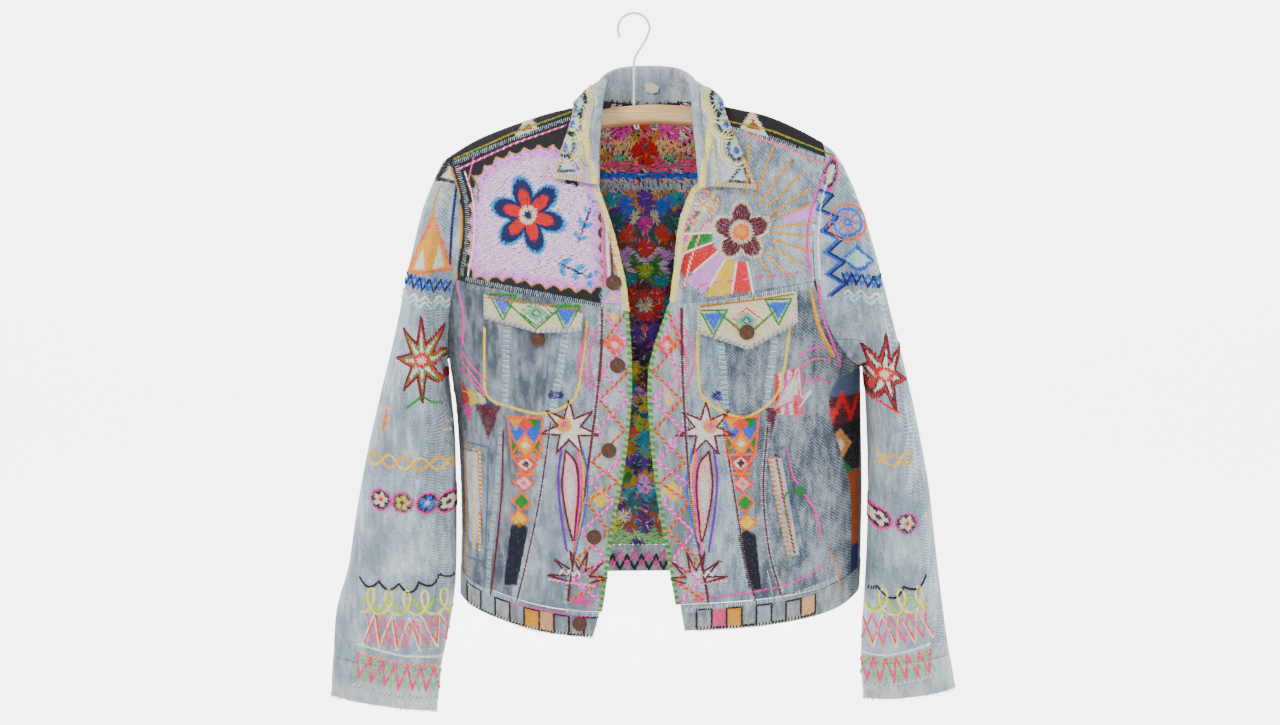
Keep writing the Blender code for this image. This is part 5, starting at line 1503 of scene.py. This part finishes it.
ON_L, ON_R = ["sleeve_upper_L", "sleeve_under_L"], ["sleeve_upper_R", "sleeve_under_R"]
NET_L, NET_R = net([*ON_L, "cuff_L"]), net([*ON_R, "cuff_R"])
fills("sleeve_L_fills", ON_L,
      area("black", (-227, 186), (-211, 157), (-196, 192))
      + area("cream", (-218, 183), (-210, 168), (-202, 187))
      + area("orange", (-258, 290), (-227, 221), (-205, 287))
      + area("gold", (-254, 286), (-227, 230), (-209, 284), lean=1.4)
      + area("white", (-248, 284), (-238, 261), (-234, 284), lean=1.4)
      + area("white", (-227, 284), (-220, 258), (-215, 282), lean=1.4)
      + layered_star(-238, 384, 8, ("red", 46, 17), ("green", 40, 14), ("white", 32, 9)), room=1.9)
fills("sleeve_L_fills", ON_L,
      small_flowers(((-290, 548), "cream", "red"), ((-264, 550), "yellow", "navy"),
                    ((-237, 553), "blue", "cream"), ((-215, 556), "cream", "plum")),
      room=1.9, length=4)
fills("sleeve_L_fills", ON_L, sprig("orange", "peach", -287, 474, -280, 441, 3, 9), room=1.8, length=3.6)
for line, colour in (
    ([(-220, 192), (-226, 210), (-227, 225)], "mustard"), ([(-202, 192), (-206, 236), (-209, 281)], "navy"),
    (swing([(-263, 294), (-209, 305)], 11, 6), "cornflower"),
    (swing([(-263, 295), (-209, 306)], 11, -6), "navy"),
    (swing([(-264, 312), (-211, 321)], 14, 3, "wave"), "white"),
    (swing([(-264, 318), (-211, 327)], 14, 3, "wave"), "ice"),
    *lower_rows([(-306, 501), (-249, 504), (-197, 511)], [(-319, 645), (-260, 652), (-204, 635)],
                [(-317, 671), (-260, 675), (-212, 676)],
                [(-317, 676), (-260, 680), (-212, 681)], [(-316, 708), (-260, 717), (-215, 710)],
                [(-314, 707), (-260, 716), (-216, 708)]),
    ([(-326, 728), (-271, 743), (-218, 748)], "white"), ([(-216, 462), (-202, 467)], "cream"),
    ([(-219, 470), (-205, 475)], "cream"),
    (ring_of(-238, 384, 48, 19, 8), "maroon"), ([(-256, 439), (-238, 425), (-220, 441)], "green"),
    *crossed([(-329, 755), (-277, 770), (-222, 776)], 15, 14, ("sage", "mint"), ("coral", "pink")),
    ([(-332, 779), (-277, 794), (-222, 799)], ("cream", "grey")),
    ([(-325, 739), (-271, 754), (-219, 759)], ("rose", "peach")),
):
    row("sleeve_L_lines", line, colour, on=NET_L)
fills("sleeve_R_fills", ON_R,
      oval("pink", 223, 179, 9, 19, 15) + oval("black", 223, 179, 7.5, 16, 15)
      + oval("cream", 223, 179, 4, 11, 15)
      + diamond("cornflower", 252, 273, 17, 15) + diamond("ice", 252, 273, 13, 11)
      + layered_star(281, 398, 7, ("red", 42, 16), ("black", 37, 13), ("white", 30, 9)), room=1.9)
fills("sleeve_R_fills", ON_R,
      small_flowers(((281, 569), "cream", "plum"), ((309, 569), "cream", "red")),
      room=1.9, length=4)
for line, colour in (
    (ring_of(241, 232, 20), "orange"), (ring_of(241, 232, 15), "blue"),
    (swing([(214, 192), (228, 258), (232, 314)], 26, 9), "navy"),
    (swing([(210, 192), (223, 258), (228, 314)], 26, 9), "cornflower"),
    (swing([(235, 294), (279, 296)], 10, 6), "cornflower"), (swing([(235, 295), (279, 297)], 10, -6), "navy"),
    (swing([(239, 312), (281, 312)], 14, 3, "wave"), "white"),
    (swing([(239, 318), (283, 318)], 14, 3, "wave"), "ice"),
    *lower_rows([(252, 499), (286, 497), (314, 491)], [(254, 650), (297, 654), (335, 635)],
                [(257, 669), (297, 669), (339, 662)],
                [(257, 674), (297, 674), (339, 666)], [(257, 710), (297, 707), (343, 695)],
                [(257, 708), (297, 706), (343, 694)]),
    ([(254, 741), (297, 739), (346, 724)], "white"), (ring_of(251, 460, 9), "cream"),
    (ring_of(281, 398, 44, 18, 7), "maroon"), ([(259, 441), (277, 430), (297, 441)], "red"),
    *crossed([(254, 759), (297, 758), (350, 745)], 15, 14, ("sage", "mint"), ("coral", "pink")),
    ([(254, 779), (302, 776), (353, 764)], ("cream", "grey")),
    ([(254, 748), (297, 747), (347, 734)], ("rose", "peach")),
):
    row("sleeve_R_lines", line, colour, on=NET_R)
x0, d0 = 241, 232
for turn in range(0, 360, 45):
    way = math.cos(math.radians(turn)), math.sin(math.radians(turn))
    row("sleeve_R_lines", [(x0 + way[0] * 3, d0 + way[1] * 3), (x0 + way[0] * 19, d0 + way[1] * 19)],
        ("blue", "orange"), pitch=2.4)

# Stitches on the sides
# Pink curves leave the armholes, and patches of triangles and stripes sit beside the pockets.
fills("side_fills", ["front_side_L", "front_middle_L"],
      area("maroon", (-182, 441), (-151, 439), (-167, 481))
      + area("red", (-198, 414), (-189, 441), (-198, 444))
      + area("yellow", (-191, 421), (-178, 439), (-189, 444))
      + area("cream", (-180, 425), (-167, 437), (-176, 441))
      + area("navy", (-171, 430), (-158, 439), (-167, 444))
      + area("pink", (-198, 446), (-185, 446), (-191, 464)), room=1.9, length=4)
fills("side_fills", ["front_side_R", "front_middle_R"],
      sum((area(colour, (x, 401 - k), (x + 6, 399 - k), (x + 10, 444 + k), (x + 3, 447 + k), lean=0.4)
           for k, (x, colour) in enumerate(((158, "red"), (163, "white"), (168, "pink"), (173, "white"),
                                            (178, "scarlet"), (183, "rose")))), [])
      + area("white", (159, 441), (172, 414), (187, 402), (185, 425), (176, 432))
      + area("maroon", (150, 439), (162, 441), (153, 481))
      + area("green", (185, 532), (195, 532), (195, 543), (185, 543)),
      room=1.9, length=4)
for line, colour in (
    ([(-197, 380), (-185, 396), (-167, 414)], "pink"), ([(-198, 391), (-185, 407), (-169, 425)], "rose"),
    ([(-198, 402), (-182, 418), (-167, 430)], "pink"), ([(-198, 428), (-182, 430), (-169, 434)], "yellow"),
    ([(185, 382), (205, 373), (228, 373)], "pink"), ([(185, 396), (205, 386), (225, 389)], "rose"),
    ([(192, 412), (208, 409), (221, 414)], "pink"), ([(172, 485), (181, 518), (187, 529)], "pink"),
    ([(196, 543), (210, 567), (216, 596)], "pink"), ([(181, 534), (172, 543), (174, 567)], "green"),
    ([(159, 441), (173, 412), (189, 400), (185, 428), (159, 441)], "rose"),
    ([(174, 432), (185, 396), (190, 428), (201, 423), (187, 441)], "white"),
    ([(87, 659), (141, 654), (185, 645), (221, 628)], ("pink", "pink", None)),
    ([(228, 614), (237, 638), (241, 662)], ("tan", "orange")),
    ([(-194, 488), (-196, 567), (-196, 650)], ("tan", None)),
    ([(-149, 671), (-82, 681), (-49, 683)], ("pink", None)),
):
    row("side_lines", bent(line), colour, width=2.5)
row("side_lines", [(-194, 488), (-167, 490), (-169, 550), (-173, 628), (-198, 626)], "slate", width=1.4)
row("side_lines", [(146, 488), (172, 485), (183, 549), (199, 616), (179, 628)], "slate", width=1.4)
row("side_lines", [(-185, 494), (-185, 543), (-187, 614)], ("cream", "peach"), **EDGING)
row("side_lines", [(-178, 494), (-178, 543), (-180, 614)], ("coral", "straw"), pitch=2.5)
row("side_lines", [(154, 494), (163, 543), (179, 614)], ("pink", "lime", "straw"), **EDGING)
row("side_lines", [(161, 494), (170, 543), (184, 609)], ("black", "orange"), pitch=2.5)
fills("side_strip", ["back_side_R"],
      area("slate", (210, 405), (263, 405), (263, 432), (210, 432), lean=0.5)
      + area("maroon", (210, 432), (263, 432), (263, 464), (210, 474))
      + area("scarlet", (216, 425), (228, 448), (239, 425), (250, 451), (261, 425), (261, 437),
             (250, 464), (239, 439), (228, 462), (216, 437))
      + area("black", (210, 469), (263, 462), (263, 520), (210, 520)) + diamond("tan", 237, 488, 15, 20)
      + diamond("cream", 237, 488, 6, 8) + area("green", (223, 515), (237, 499), (252, 520), (239, 534))
      + area("rust", (214, 527), (263, 522), (263, 614), (225, 621), lean=1.4)
      + area("navy", (228, 614), (263, 609), (263, 686), (232, 686), lean=1.4), room=2.2)

# Inside of the back
# The stitches come through the cloth, so the inside is a thick mirror-image mosaic of colours
# round a middle line, with a blue band and bare seams near the yoke.
def pairs(rows, middle):
    """Ovals mirrored about a middle line: colour, off the middle, down, half sizes, tilt."""
    made = []
    for colour, off, down, rx, ry, tilt in rows:
        made += oval(colour, middle + off, down, rx, ry, tilt)
        if off:
            made += oval(colour, middle - off, down, rx, ry, -tilt)
    return made


MIDDLE = 13
BANDS = ("blush", "rose", "peach", "rose", "blush", "tan", "violet", "teal", "brown", "heather", "green",
         "maroon", "turquoise", "plum", "rose", "navy", "lime", "brown", "lilac", "teal", "coral", "sage",
         "violet", "mustard", "turquoise", "plum", "rust", "mint", "navy")
mosaic = []
for k, colour in enumerate(BANDS):
    d = 108 + k * 19
    mosaic += area(colour, *swing([(-150, d), (170, d)], 40, 7, "wave", start=0.3 * k).tolist(),
                   (170, d + 34),
                   (-150, d + 34), lean=0.9 * (k % 3))
PATCHES = (
    ("red", 0, 158, 15, 16, 0), ("pink", 26, 132, 16, 9, 30), ("peach", 34, 150, 9, 6, 0),
    ("mustard", 12, 138, 5, 8, 30), ("cream", 45, 138, 6, 5, 0), ("sage", 30, 165, 8, 5, 0),
    ("blush", 14, 122, 8, 5, 0), ("tan", 44, 162, 8, 6, 0), ("coral", 0, 126, 6, 8, 0),
    ("blue", 22, 222, 9, 15, 30), ("violet", 0, 214, 10, 13, 0), ("turquoise", 38, 214, 10, 9, 0),
    ("cream", 12, 236, 5, 10, -20), ("teal", 34, 240, 12, 10, 20), ("coral", 22, 256, 8, 12, -30),
    ("pink", 0, 246, 8, 12, 0), ("brown", 42, 262, 9, 12, 0), ("scarlet", 0, 272, 9, 11, 0),
    ("lilac", 26, 282, 12, 8, 20), ("green", 12, 292, 6, 12, 30), ("navy", 36, 296, 8, 10, 0),
    ("lime", 0, 300, 9, 8, 0), ("turquoise", 20, 312, 10, 8, 0), ("rose", 38, 320, 8, 10, 0),
    ("red", 0, 343, 22, 20, 0), ("scarlet", 16, 330, 9, 9, 0), ("cream", 0, 343, 10, 9, 0),
    ("blush", 0, 343, 5, 5, 0), ("teal", 34, 350, 10, 16, 10), ("gold", 26, 372, 9, 7, 30),
    ("violet", 10, 378, 8, 13, 20), ("sky", 34, 386, 9, 12, 0), ("plum", 0, 398, 9, 12, 0),
    ("coral", 22, 402, 9, 9, 0), ("yellow", 12, 420, 7, 9, 30), ("green", 34, 424, 10, 12, 0),
    ("maroon", 0, 434, 8, 12, 0), ("turquoise", 20, 444, 9, 12, -20), ("lilac", 36, 456, 8, 12, 0),
    ("yellow", 0, 464, 12, 9, 0), ("brown", 22, 474, 8, 14, 20), ("lime", 8, 488, 6, 12, 20),
    ("violet", 30, 496, 12, 9, 0), ("turquoise", 0, 510, 8, 14, 0), ("mustard", 20, 520, 10, 9, 30),
    ("rose", 36, 530, 8, 14, 0), ("navy", 10, 542, 7, 12, 0), ("green", 26, 556, 11, 9, 20),
    ("lilac", 0, 566, 9, 12, 0), ("orange", 34, 580, 8, 10, 0), ("teal", 14, 590, 10, 12, 0),
    ("cream", 26, 606, 9, 8, 0), ("plum", 0, 616, 10, 12, 0), ("yellow", 40, 616, 8, 12, 0),
)
mosaic += pairs(PATCHES, MIDDLE)
mosaic += area("blue", (-150, 182), (170, 182), (170, 190), (-150, 190)) + area(
    "mist", (-150, 193), (170, 193), (170, 203), (-150, 203), lean=1.5)
INSIDE = ["back_centre", "back_yoke", "back_side_L", "back_side_R"]
HALF_MIDDLE = 112


def only(motifs, kept):
    """The same motifs, kept where their distance from the middle line passes a test."""
    def cut(motif):
        def covers(x, down):
            inside, lean = motif(x, down)
            return inside & kept(np.abs(x - MIDDLE)), lean
        return covers
    return [(colour, cut(motif)) for colour, motif in motifs]


fills("inside_back", INSIDE, only(mosaic, lambda off: off < HALF_MIDDLE), room=6.4, length=6.4, width=2.3,
      height=1.1, view="inside", stray=0.16)
fills("inside_sides", INSIDE, only(mosaic, lambda off: off >= HALF_MIDDLE), room=12, length=9, width=2.8,
      view="inside")
for k, x in enumerate(range(-90, 118, 18)):
    row("inside_waist", [(x, 652), (x + 9, 670), (x + 18, 652)], ("pink", "rose"), view="inside", on=BACK_NET,
        deep=2.9)
    row("inside_waist", [(x, 674), (x + 9, 656), (x + 18, 674)], "black", view="inside", on=BACK_NET,
        deep=2.9)

# Outside of the back
# The photo doesn't show it; the colours that come through are worked here as plain mirrored
# flowers, leaves and diamonds on a dark ground.
back_art = area("plum", (-260, 200), (260, 200), (260, 700), (-260, 700), lean=0.6)
for k, colour in enumerate(("maroon", "teal", "brown", "violet", "navy", "rust", "plum", "teal")):
    d = 206 + k * 56
    back_art += area(colour, *swing([(-250, d), (250, d)], 62, 12, "wave", start=0.25 * k).tolist(),
                     (250, d + 80),
                     (-250, d + 80), lean=0.8 * (k % 3))
for d, size, outer, inner in ((270, 44, "red", "gold"), (400, 58, "pink", "turquoise"),
                              (545, 48, "orange", "lilac")):
    back_art += (petals("cream", MIDDLE, d, size + 5, size * 0.62, 8)
                 + petals(outer, MIDDLE, d, size, size * 0.5, 8)
                 + oval("navy", MIDDLE, d, size * 0.42) + oval(inner, MIDDLE, d, size * 0.32)
                 + oval("cream", MIDDLE, d, size * 0.14))
    for way in (-1, 1):
        back_art += sprig("green", "sage", MIDDLE + way * (size + 12), d + 10, MIDDLE + way * (size + 72),
                          d - 24, 4, 24)
        back_art += petals("yellow", MIDDLE + way * 104, d + 44, 24, 15, 6) + oval("scarlet", MIDDLE
        + way * 104, d + 44, 11)
        back_art += diamond("sky", MIDDLE + way * 150, d + 4, 18, 24) + diamond("coral", MIDDLE
        + way * 150, d + 4, 10, 14)
for down in (206, 630):
    for k in range(-9, 10):
        back_art += diamond("cream" if k % 2 else "lime", MIDDLE + k * 20, down + 10, 9, 9)
fills("back_centre_stitches", ["back_centre"], back_art, room=9.5, length=8, width=2.6, view="back",
      stray=0.05)
fills("back_side_stitches", ["back_side_L", "back_side_R"], back_art, room=12, length=9, width=3.0,
      view="back", stray=0.05)
yoke_art = []
for k in range(-9, 10):
    yoke_art += petals("pink" if k % 2 else "turquoise", MIDDLE + k * 22, 178, 10, 6, 5)
    yoke_art += oval("gold", MIDDLE + k * 22, 178, 4)
fills("back_yoke_flowers", ["back_yoke"], yoke_art, room=2.2, length=5, height=1.3, view="back")

# Buttons
# Copper tack buttons, browned with wear: a rolled rim, a dished face and a small raised middle.
# Each is riveted through the cloth, so it sits flat on it.
def metal(name, colour, rough):
    made, nodes, links, shader = principled(name, colour, rough, Metallic=0.75)
    wear = nodes.new("ShaderNodeTexNoise")
    wear.inputs["Scale"].default_value = 260
    ramp = nodes.new("ShaderNodeValToRGB")
    ramp.color_ramp.elements[0].position, ramp.color_ramp.elements[0].color = 0.35, (0.035, 0.018, 0.012, 1)
    ramp.color_ramp.elements[1].position, ramp.color_ramp.elements[1].color = 0.7, colour
    links.new(wear.outputs["Fac"], ramp.inputs["Fac"])
    links.new(ramp.outputs["Color"], shader.inputs["Base Color"])
    return made


def turned(name, profile, place, out, finish, steps=40):
    """A solid of revolution: radius and height pairs, standing on a place along the way out."""
    out = unit(np.asarray(out, float))
    a = unit(np.cross(out, [0, 0, 1.0]))
    b = np.cross(out, a)
    verts, faces = [np.asarray(place) + out * profile[0][1]], []
    rings = profile[1:-1]
    for radius, high in rings:
        for k in range(steps):
            t = 2 * math.pi * k / steps
            verts.append(np.asarray(place) + out * high + (a * math.cos(t) + b * math.sin(t)) * radius)
    verts.append(np.asarray(place) + out * profile[-1][1])
    last = len(verts) - 1
    for k in range(steps):
        n = (k + 1) % steps
        faces.append((0, 1 + k, 1 + n))
        for i in range(len(rings) - 1):
            faces.append((1 + i * steps + k, 1 + (i + 1) * steps + k, 1 + (i + 1) * steps + n, 1
                          + i * steps + n))
        faces.append((last, 1 + (len(rings) - 1) * steps + n, 1 + (len(rings) - 1) * steps + k))
    made = mesh_object(name, verts, faces, finish)
    made.data.set_sharp_from_angle(angle=math.radians(50))
    return made


COPPER = metal("worn_copper", (0.16, 0.075, 0.045, 1), 0.5)
BUTTON = ((0, 0), (5.4, 0), (7.4, 1.0), (8.4, 1.7), (8.6, 2.4), (8.3, 3.1), (7.6, 3.6), (6.9, 3.5),
          (6.3, 3.0),
          (5.4, 2.8), (3.4, 3.0), (2.9, 3.7), (1.6, 3.95), (0, 4.0))
FRONT_BUTTONS = ((-22, 296), (-18, 389), (-28, 486), (-45, 587), (-62, 691))


def button(name, surface, x, down, lift):
    place = np.array(surface(x, down)).reshape(3)
    out = normals(surface, np.array([float(x)]), np.array([float(down)])).reshape(3)
    made = turned(name, BUTTON, place + out * (lift + 0.3), out, COPPER)
    fix(made, name)


for k, (x, down) in enumerate(FRONT_BUTTONS):
    button(f"front_button_{k + 1}", front_face, x, down, 0 if down < 320 else (0.8 if down > 680 else 0.6))
for side, x, down in (("L", -107, 361), ("R", 126, 352)):
    button(f"pocket_button_{side}", front_face, x, down,
           0.3 if side == "L" else float(flap_lift("R", np.array(0.5), np.array(0.7))))
for side in "LR":
    top, bottom = (np.array(row_) for row_ in (CUFF_L if side == "L" else CUFF_R))
    middle = (top + bottom) / 2
    place, ahead, along = (sleeve_ring(*(top + (bottom - top) * share), np.array(turn)) for share, turn in
                           ((0.5, 300.0), (0.5, 301.0), (0.52, 300.0)))
    out = unit(np.cross(ahead - place, along - place))
    centre = (np.array([middle[0], middle[4], -middle[1]]) + np.array([middle[2], middle[4], -middle[3]])) / 2
    out = out * (1 if np.dot(out, place - centre) > 0 else -1)
    made = turned(f"cuff_button_{side}", BUTTON, place + out * 1.0, out, COPPER)
    fix(made, f"cuff_button_{side}")

# Hanger
# A bent beech bar with rounded edges under clear varnish, gone amber, with fine grain along it
# # and painted shade that darkens and browns its lower edge. Its face is left without lettering.
BAR = (
    # x, top down, half thickness, height
    (-198, 159.9, 4.5, 13), (-190, 154.4, 6.2, 18), (-172, 144.4, 7, 21), (-142, 131.4, 7, 23),
    (-107, 119.4, 7, 23), (-75, 112.9, 7, 23), (-46, 107.9, 7, 23), (10, 101.4, 7, 23), (58, 102.9, 7, 23),
    (80, 106.9, 7, 23), (105, 111.9, 7, 23), (130, 115.4, 7, 23), (156, 121.4, 7, 23), (186, 133.4, 7, 22),
    (206, 143.4, 6.2, 19), (214, 148.4, 4.5, 14),
)


def wood_finish():
    made, nodes, links, shader = principled("varnished_beech", (0.5, 0.33, 0.17, 1), 0.42, Coat_Weight=0.12,
                                            Coat_Roughness=0.2)
    place = nodes.new("ShaderNodeTexCoord")
    stretch = nodes.new("ShaderNodeMapping")
    stretch.inputs["Scale"].default_value = (5, 90, 160)
    grain = nodes.new("ShaderNodeTexNoise")
    grain.inputs["Scale"].default_value = 6
    grain.inputs["Detail"].default_value = 6
    ramp = nodes.new("ShaderNodeValToRGB")
    ramp.color_ramp.elements[0].position, ramp.color_ramp.elements[0].color = 0.3, (0.50, 0.27, 0.09, 1)
    ramp.color_ramp.elements[1].position, ramp.color_ramp.elements[1].color = 0.7, (0.82, 0.54, 0.24, 1)
    # painted shade: the wood colour is multiplied darker and browner on the bar's lower edge
    low = nodes.new("ShaderNodeVertexColor")
    low.layer_name = "painted_shade_lower_edge"
    tint = nodes.new("ShaderNodeMix")
    tint.data_type, tint.blend_type = "RGBA", "MULTIPLY"
    tint.inputs["B"].default_value = (0.52, 0.30, 0.20, 1)
    links.new(place.outputs["Object"], stretch.inputs["Vector"])
    links.new(stretch.outputs["Vector"], grain.inputs["Vector"])
    links.new(grain.outputs["Fac"], ramp.inputs["Fac"])
    links.new(ramp.outputs["Color"], tint.inputs["A"])
    links.new(low.outputs["Color"], tint.inputs["Factor"])
    links.new(tint.outputs["Result"], shader.inputs["Base Color"])
    emboss(nodes, links, shader, grain.outputs["Fac"], 0.15, 0.0004)
    return made


xs = np.linspace(BAR[0][0], BAR[-1][0], 140)
top, half, tall = (through(BAR, c)(xs) for c in (1, 2, 3))
turns = np.linspace(0, 2 * np.pi, 33)[:-1]
cy, cz = (np.sign(f(turns)) * np.abs(f(turns)) ** 0.5 for f in (np.cos, np.sin))
bar = np.stack([xs[:, None] + 0 * cy, half[:, None] * cy * 0.97, -(top + tall / 2)[:, None]
                + tall[:, None] / 2 * cz * 0.985], axis=-1)
count = len(turns)
faces = [(i * count + k, i * count + (k + 1) % count, (i + 1) * count + (k + 1) % count, (i + 1) * count + k)
         for i in range(len(xs) - 1) for k in range(count)]
faces += [tuple(reversed(range(count))), tuple(range((len(xs) - 1) * count, len(xs) * count))]
hanger = mesh_object("hanger", bar, faces, wood_finish())
# painted shade: an attribute that marks the bar's lower face for darkening
shade = hanger.data.color_attributes.new("painted_shade_lower_edge", "FLOAT_COLOR", "POINT")
low = np.clip((-cz - 0.5) / 0.2, 0, 1)
shade.data.foreach_set("color", np.repeat(np.tile(low, len(xs))[:, None], 4,
                                          axis=1).astype(np.float32).ravel())
hanger.data.set_sharp_from_angle(angle=math.radians(45))
fix(hanger, "hanger")


# Hook
# White coated steel wire, bent to an open hook and pushed down through the middle of the bar,
# with a small clinched eye under it.
def wire(name, path, radius, finish, steps=14):
    path = np.array(path, float)
    ahead = unit(np.gradient(path, axis=0))
    a = np.cross(ahead, [0, 1.0, 0])
    a, rings = unit(a), []
    b = np.cross(ahead, a)
    for k in range(steps):
        t = 2 * math.pi * k / steps
        rings.append(path + (a * math.cos(t) + b * math.sin(t)) * radius)
    verts = np.stack(rings, axis=1)
    n = len(path)
    faces = [(i * steps + k, i * steps + (k + 1) % steps, (i + 1) * steps + (k + 1) % steps,
              (i + 1) * steps + k)
             for i in range(n - 1) for k in range(steps)]
    faces += [tuple(reversed(range(steps))), tuple(range((n - 1) * steps, n * steps))]
    return mesh_object(name, verts, faces, finish)


ENAMEL = principled("white_wire", (0.78, 0.78, 0.76, 1), 0.3, Coat_Weight=0.4)[0]
hook_path = [(0, 0, z) for z in np.linspace(-102.4, -56, 14)]
hook_path += [(x, 0, -d) for x, d in bent([(0, 54), (2.5, 46), (8, 37), (14, 28)], 16)]
hook_path += [(18 * math.cos(math.radians(t)), 0, 1.4 - 18 + 18 * math.sin(math.radians(t)))
              for t in range(0, 211, 6)]
hook = wire("hook", hook_path, 1.38, ENAMEL)
fix(hook, "hook")
eye = wire("hook_eye", [(3 + 2.2 * math.sin(t), -6.4, -126.2 + 2.2 * math.cos(t))
                        for t in np.linspace(0.5, 5.8, 24)],
           0.7, ENAMEL)
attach(eye, "root")

# Label remnant
# A torn corner of a cream woven label, all that is left of it inside the back of the collar.
cotton, nodes, links, shader = principled("label_cotton", (0.62, 0.55, 0.42, 1), 0.85, Sheen_Weight=0.2)
threads = nodes.new("ShaderNodeTexWave")
threads.inputs["Scale"].default_value = 400
emboss(nodes, links, shader, threads.outputs["Fac"], 0.3, 0.0002)
IN_NET = net(["collar", "back_yoke"])
corners = []
for x, down in ((12, 79), (20, 77), (30, 82), (28, 88), (21, 90), (14, 87)):
    hit, out, _, _ = IN_NET.ray_cast((x, -20, -down), (0, 1, 0))
    hit = np.array(hit) if hit is not None else np.array([x, 30, -down])
    out = np.array(out) if out is not None else np.array([0, -1.0, 0])
    out = out if out[1] < 0 else -out
    corners.append((hit + out * 2.2, hit + out * 3.0))
verts = [p[0] for p in corners] + [p[1] for p in corners]
faces = [(0, 1, 2, 3, 4, 5), (11, 10, 9, 8, 7, 6)] + [(k, k + 6, (k + 1) % 6 + 6, (k + 1) % 6)
                                                      for k in range(6)]
label = mesh_object("label_remnant", verts, faces, cotton, smooth=False)
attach(label, "root")

# Frays
# Where the front edge and the cuffs have worn through, soft white ends of yarn stick out.
for x0, down0, spread, count, where in ((-37, 200, 7, 60, "front"), (-33, 330, 4, 24, "front"),
                                        (70, 196, 5, 24, "front")):
    for _ in range(count):
        x, down = x0 + LUCK.normal(0, spread * 0.5), down0 + LUCK.normal(0, spread)
        turn = LUCK.uniform(0, 2 * math.pi)
        row("frays", [(x, down), (x + 5 * math.cos(turn), down + 5 * math.sin(turn))], "white", pitch=2.5,
            length=5, width=0.6, height=1.2, turn=LUCK.uniform(-30, 30))
for name in ("cuff_L", "cuff_R"):
    grid, outs = SKINS[name]
    low, near_low = grid[-1], outs[-1]
    for _ in range(160):
        k = LUCK.integers(0, grid.shape[1])
        lay("frays", low[k][None] + LUCK.normal(0, 0.5, (1, 3)), near_low[k][None],
            unit(np.array([[LUCK.normal(0, 0.5), LUCK.normal(0, 0.3), -1.0]])), LUCK.uniform(4, 9), 0.7, 0.4,
            CARD["white" if LUCK.random() < 0.6 else "mist"])

for group in list(SEWN):
    sew(group)
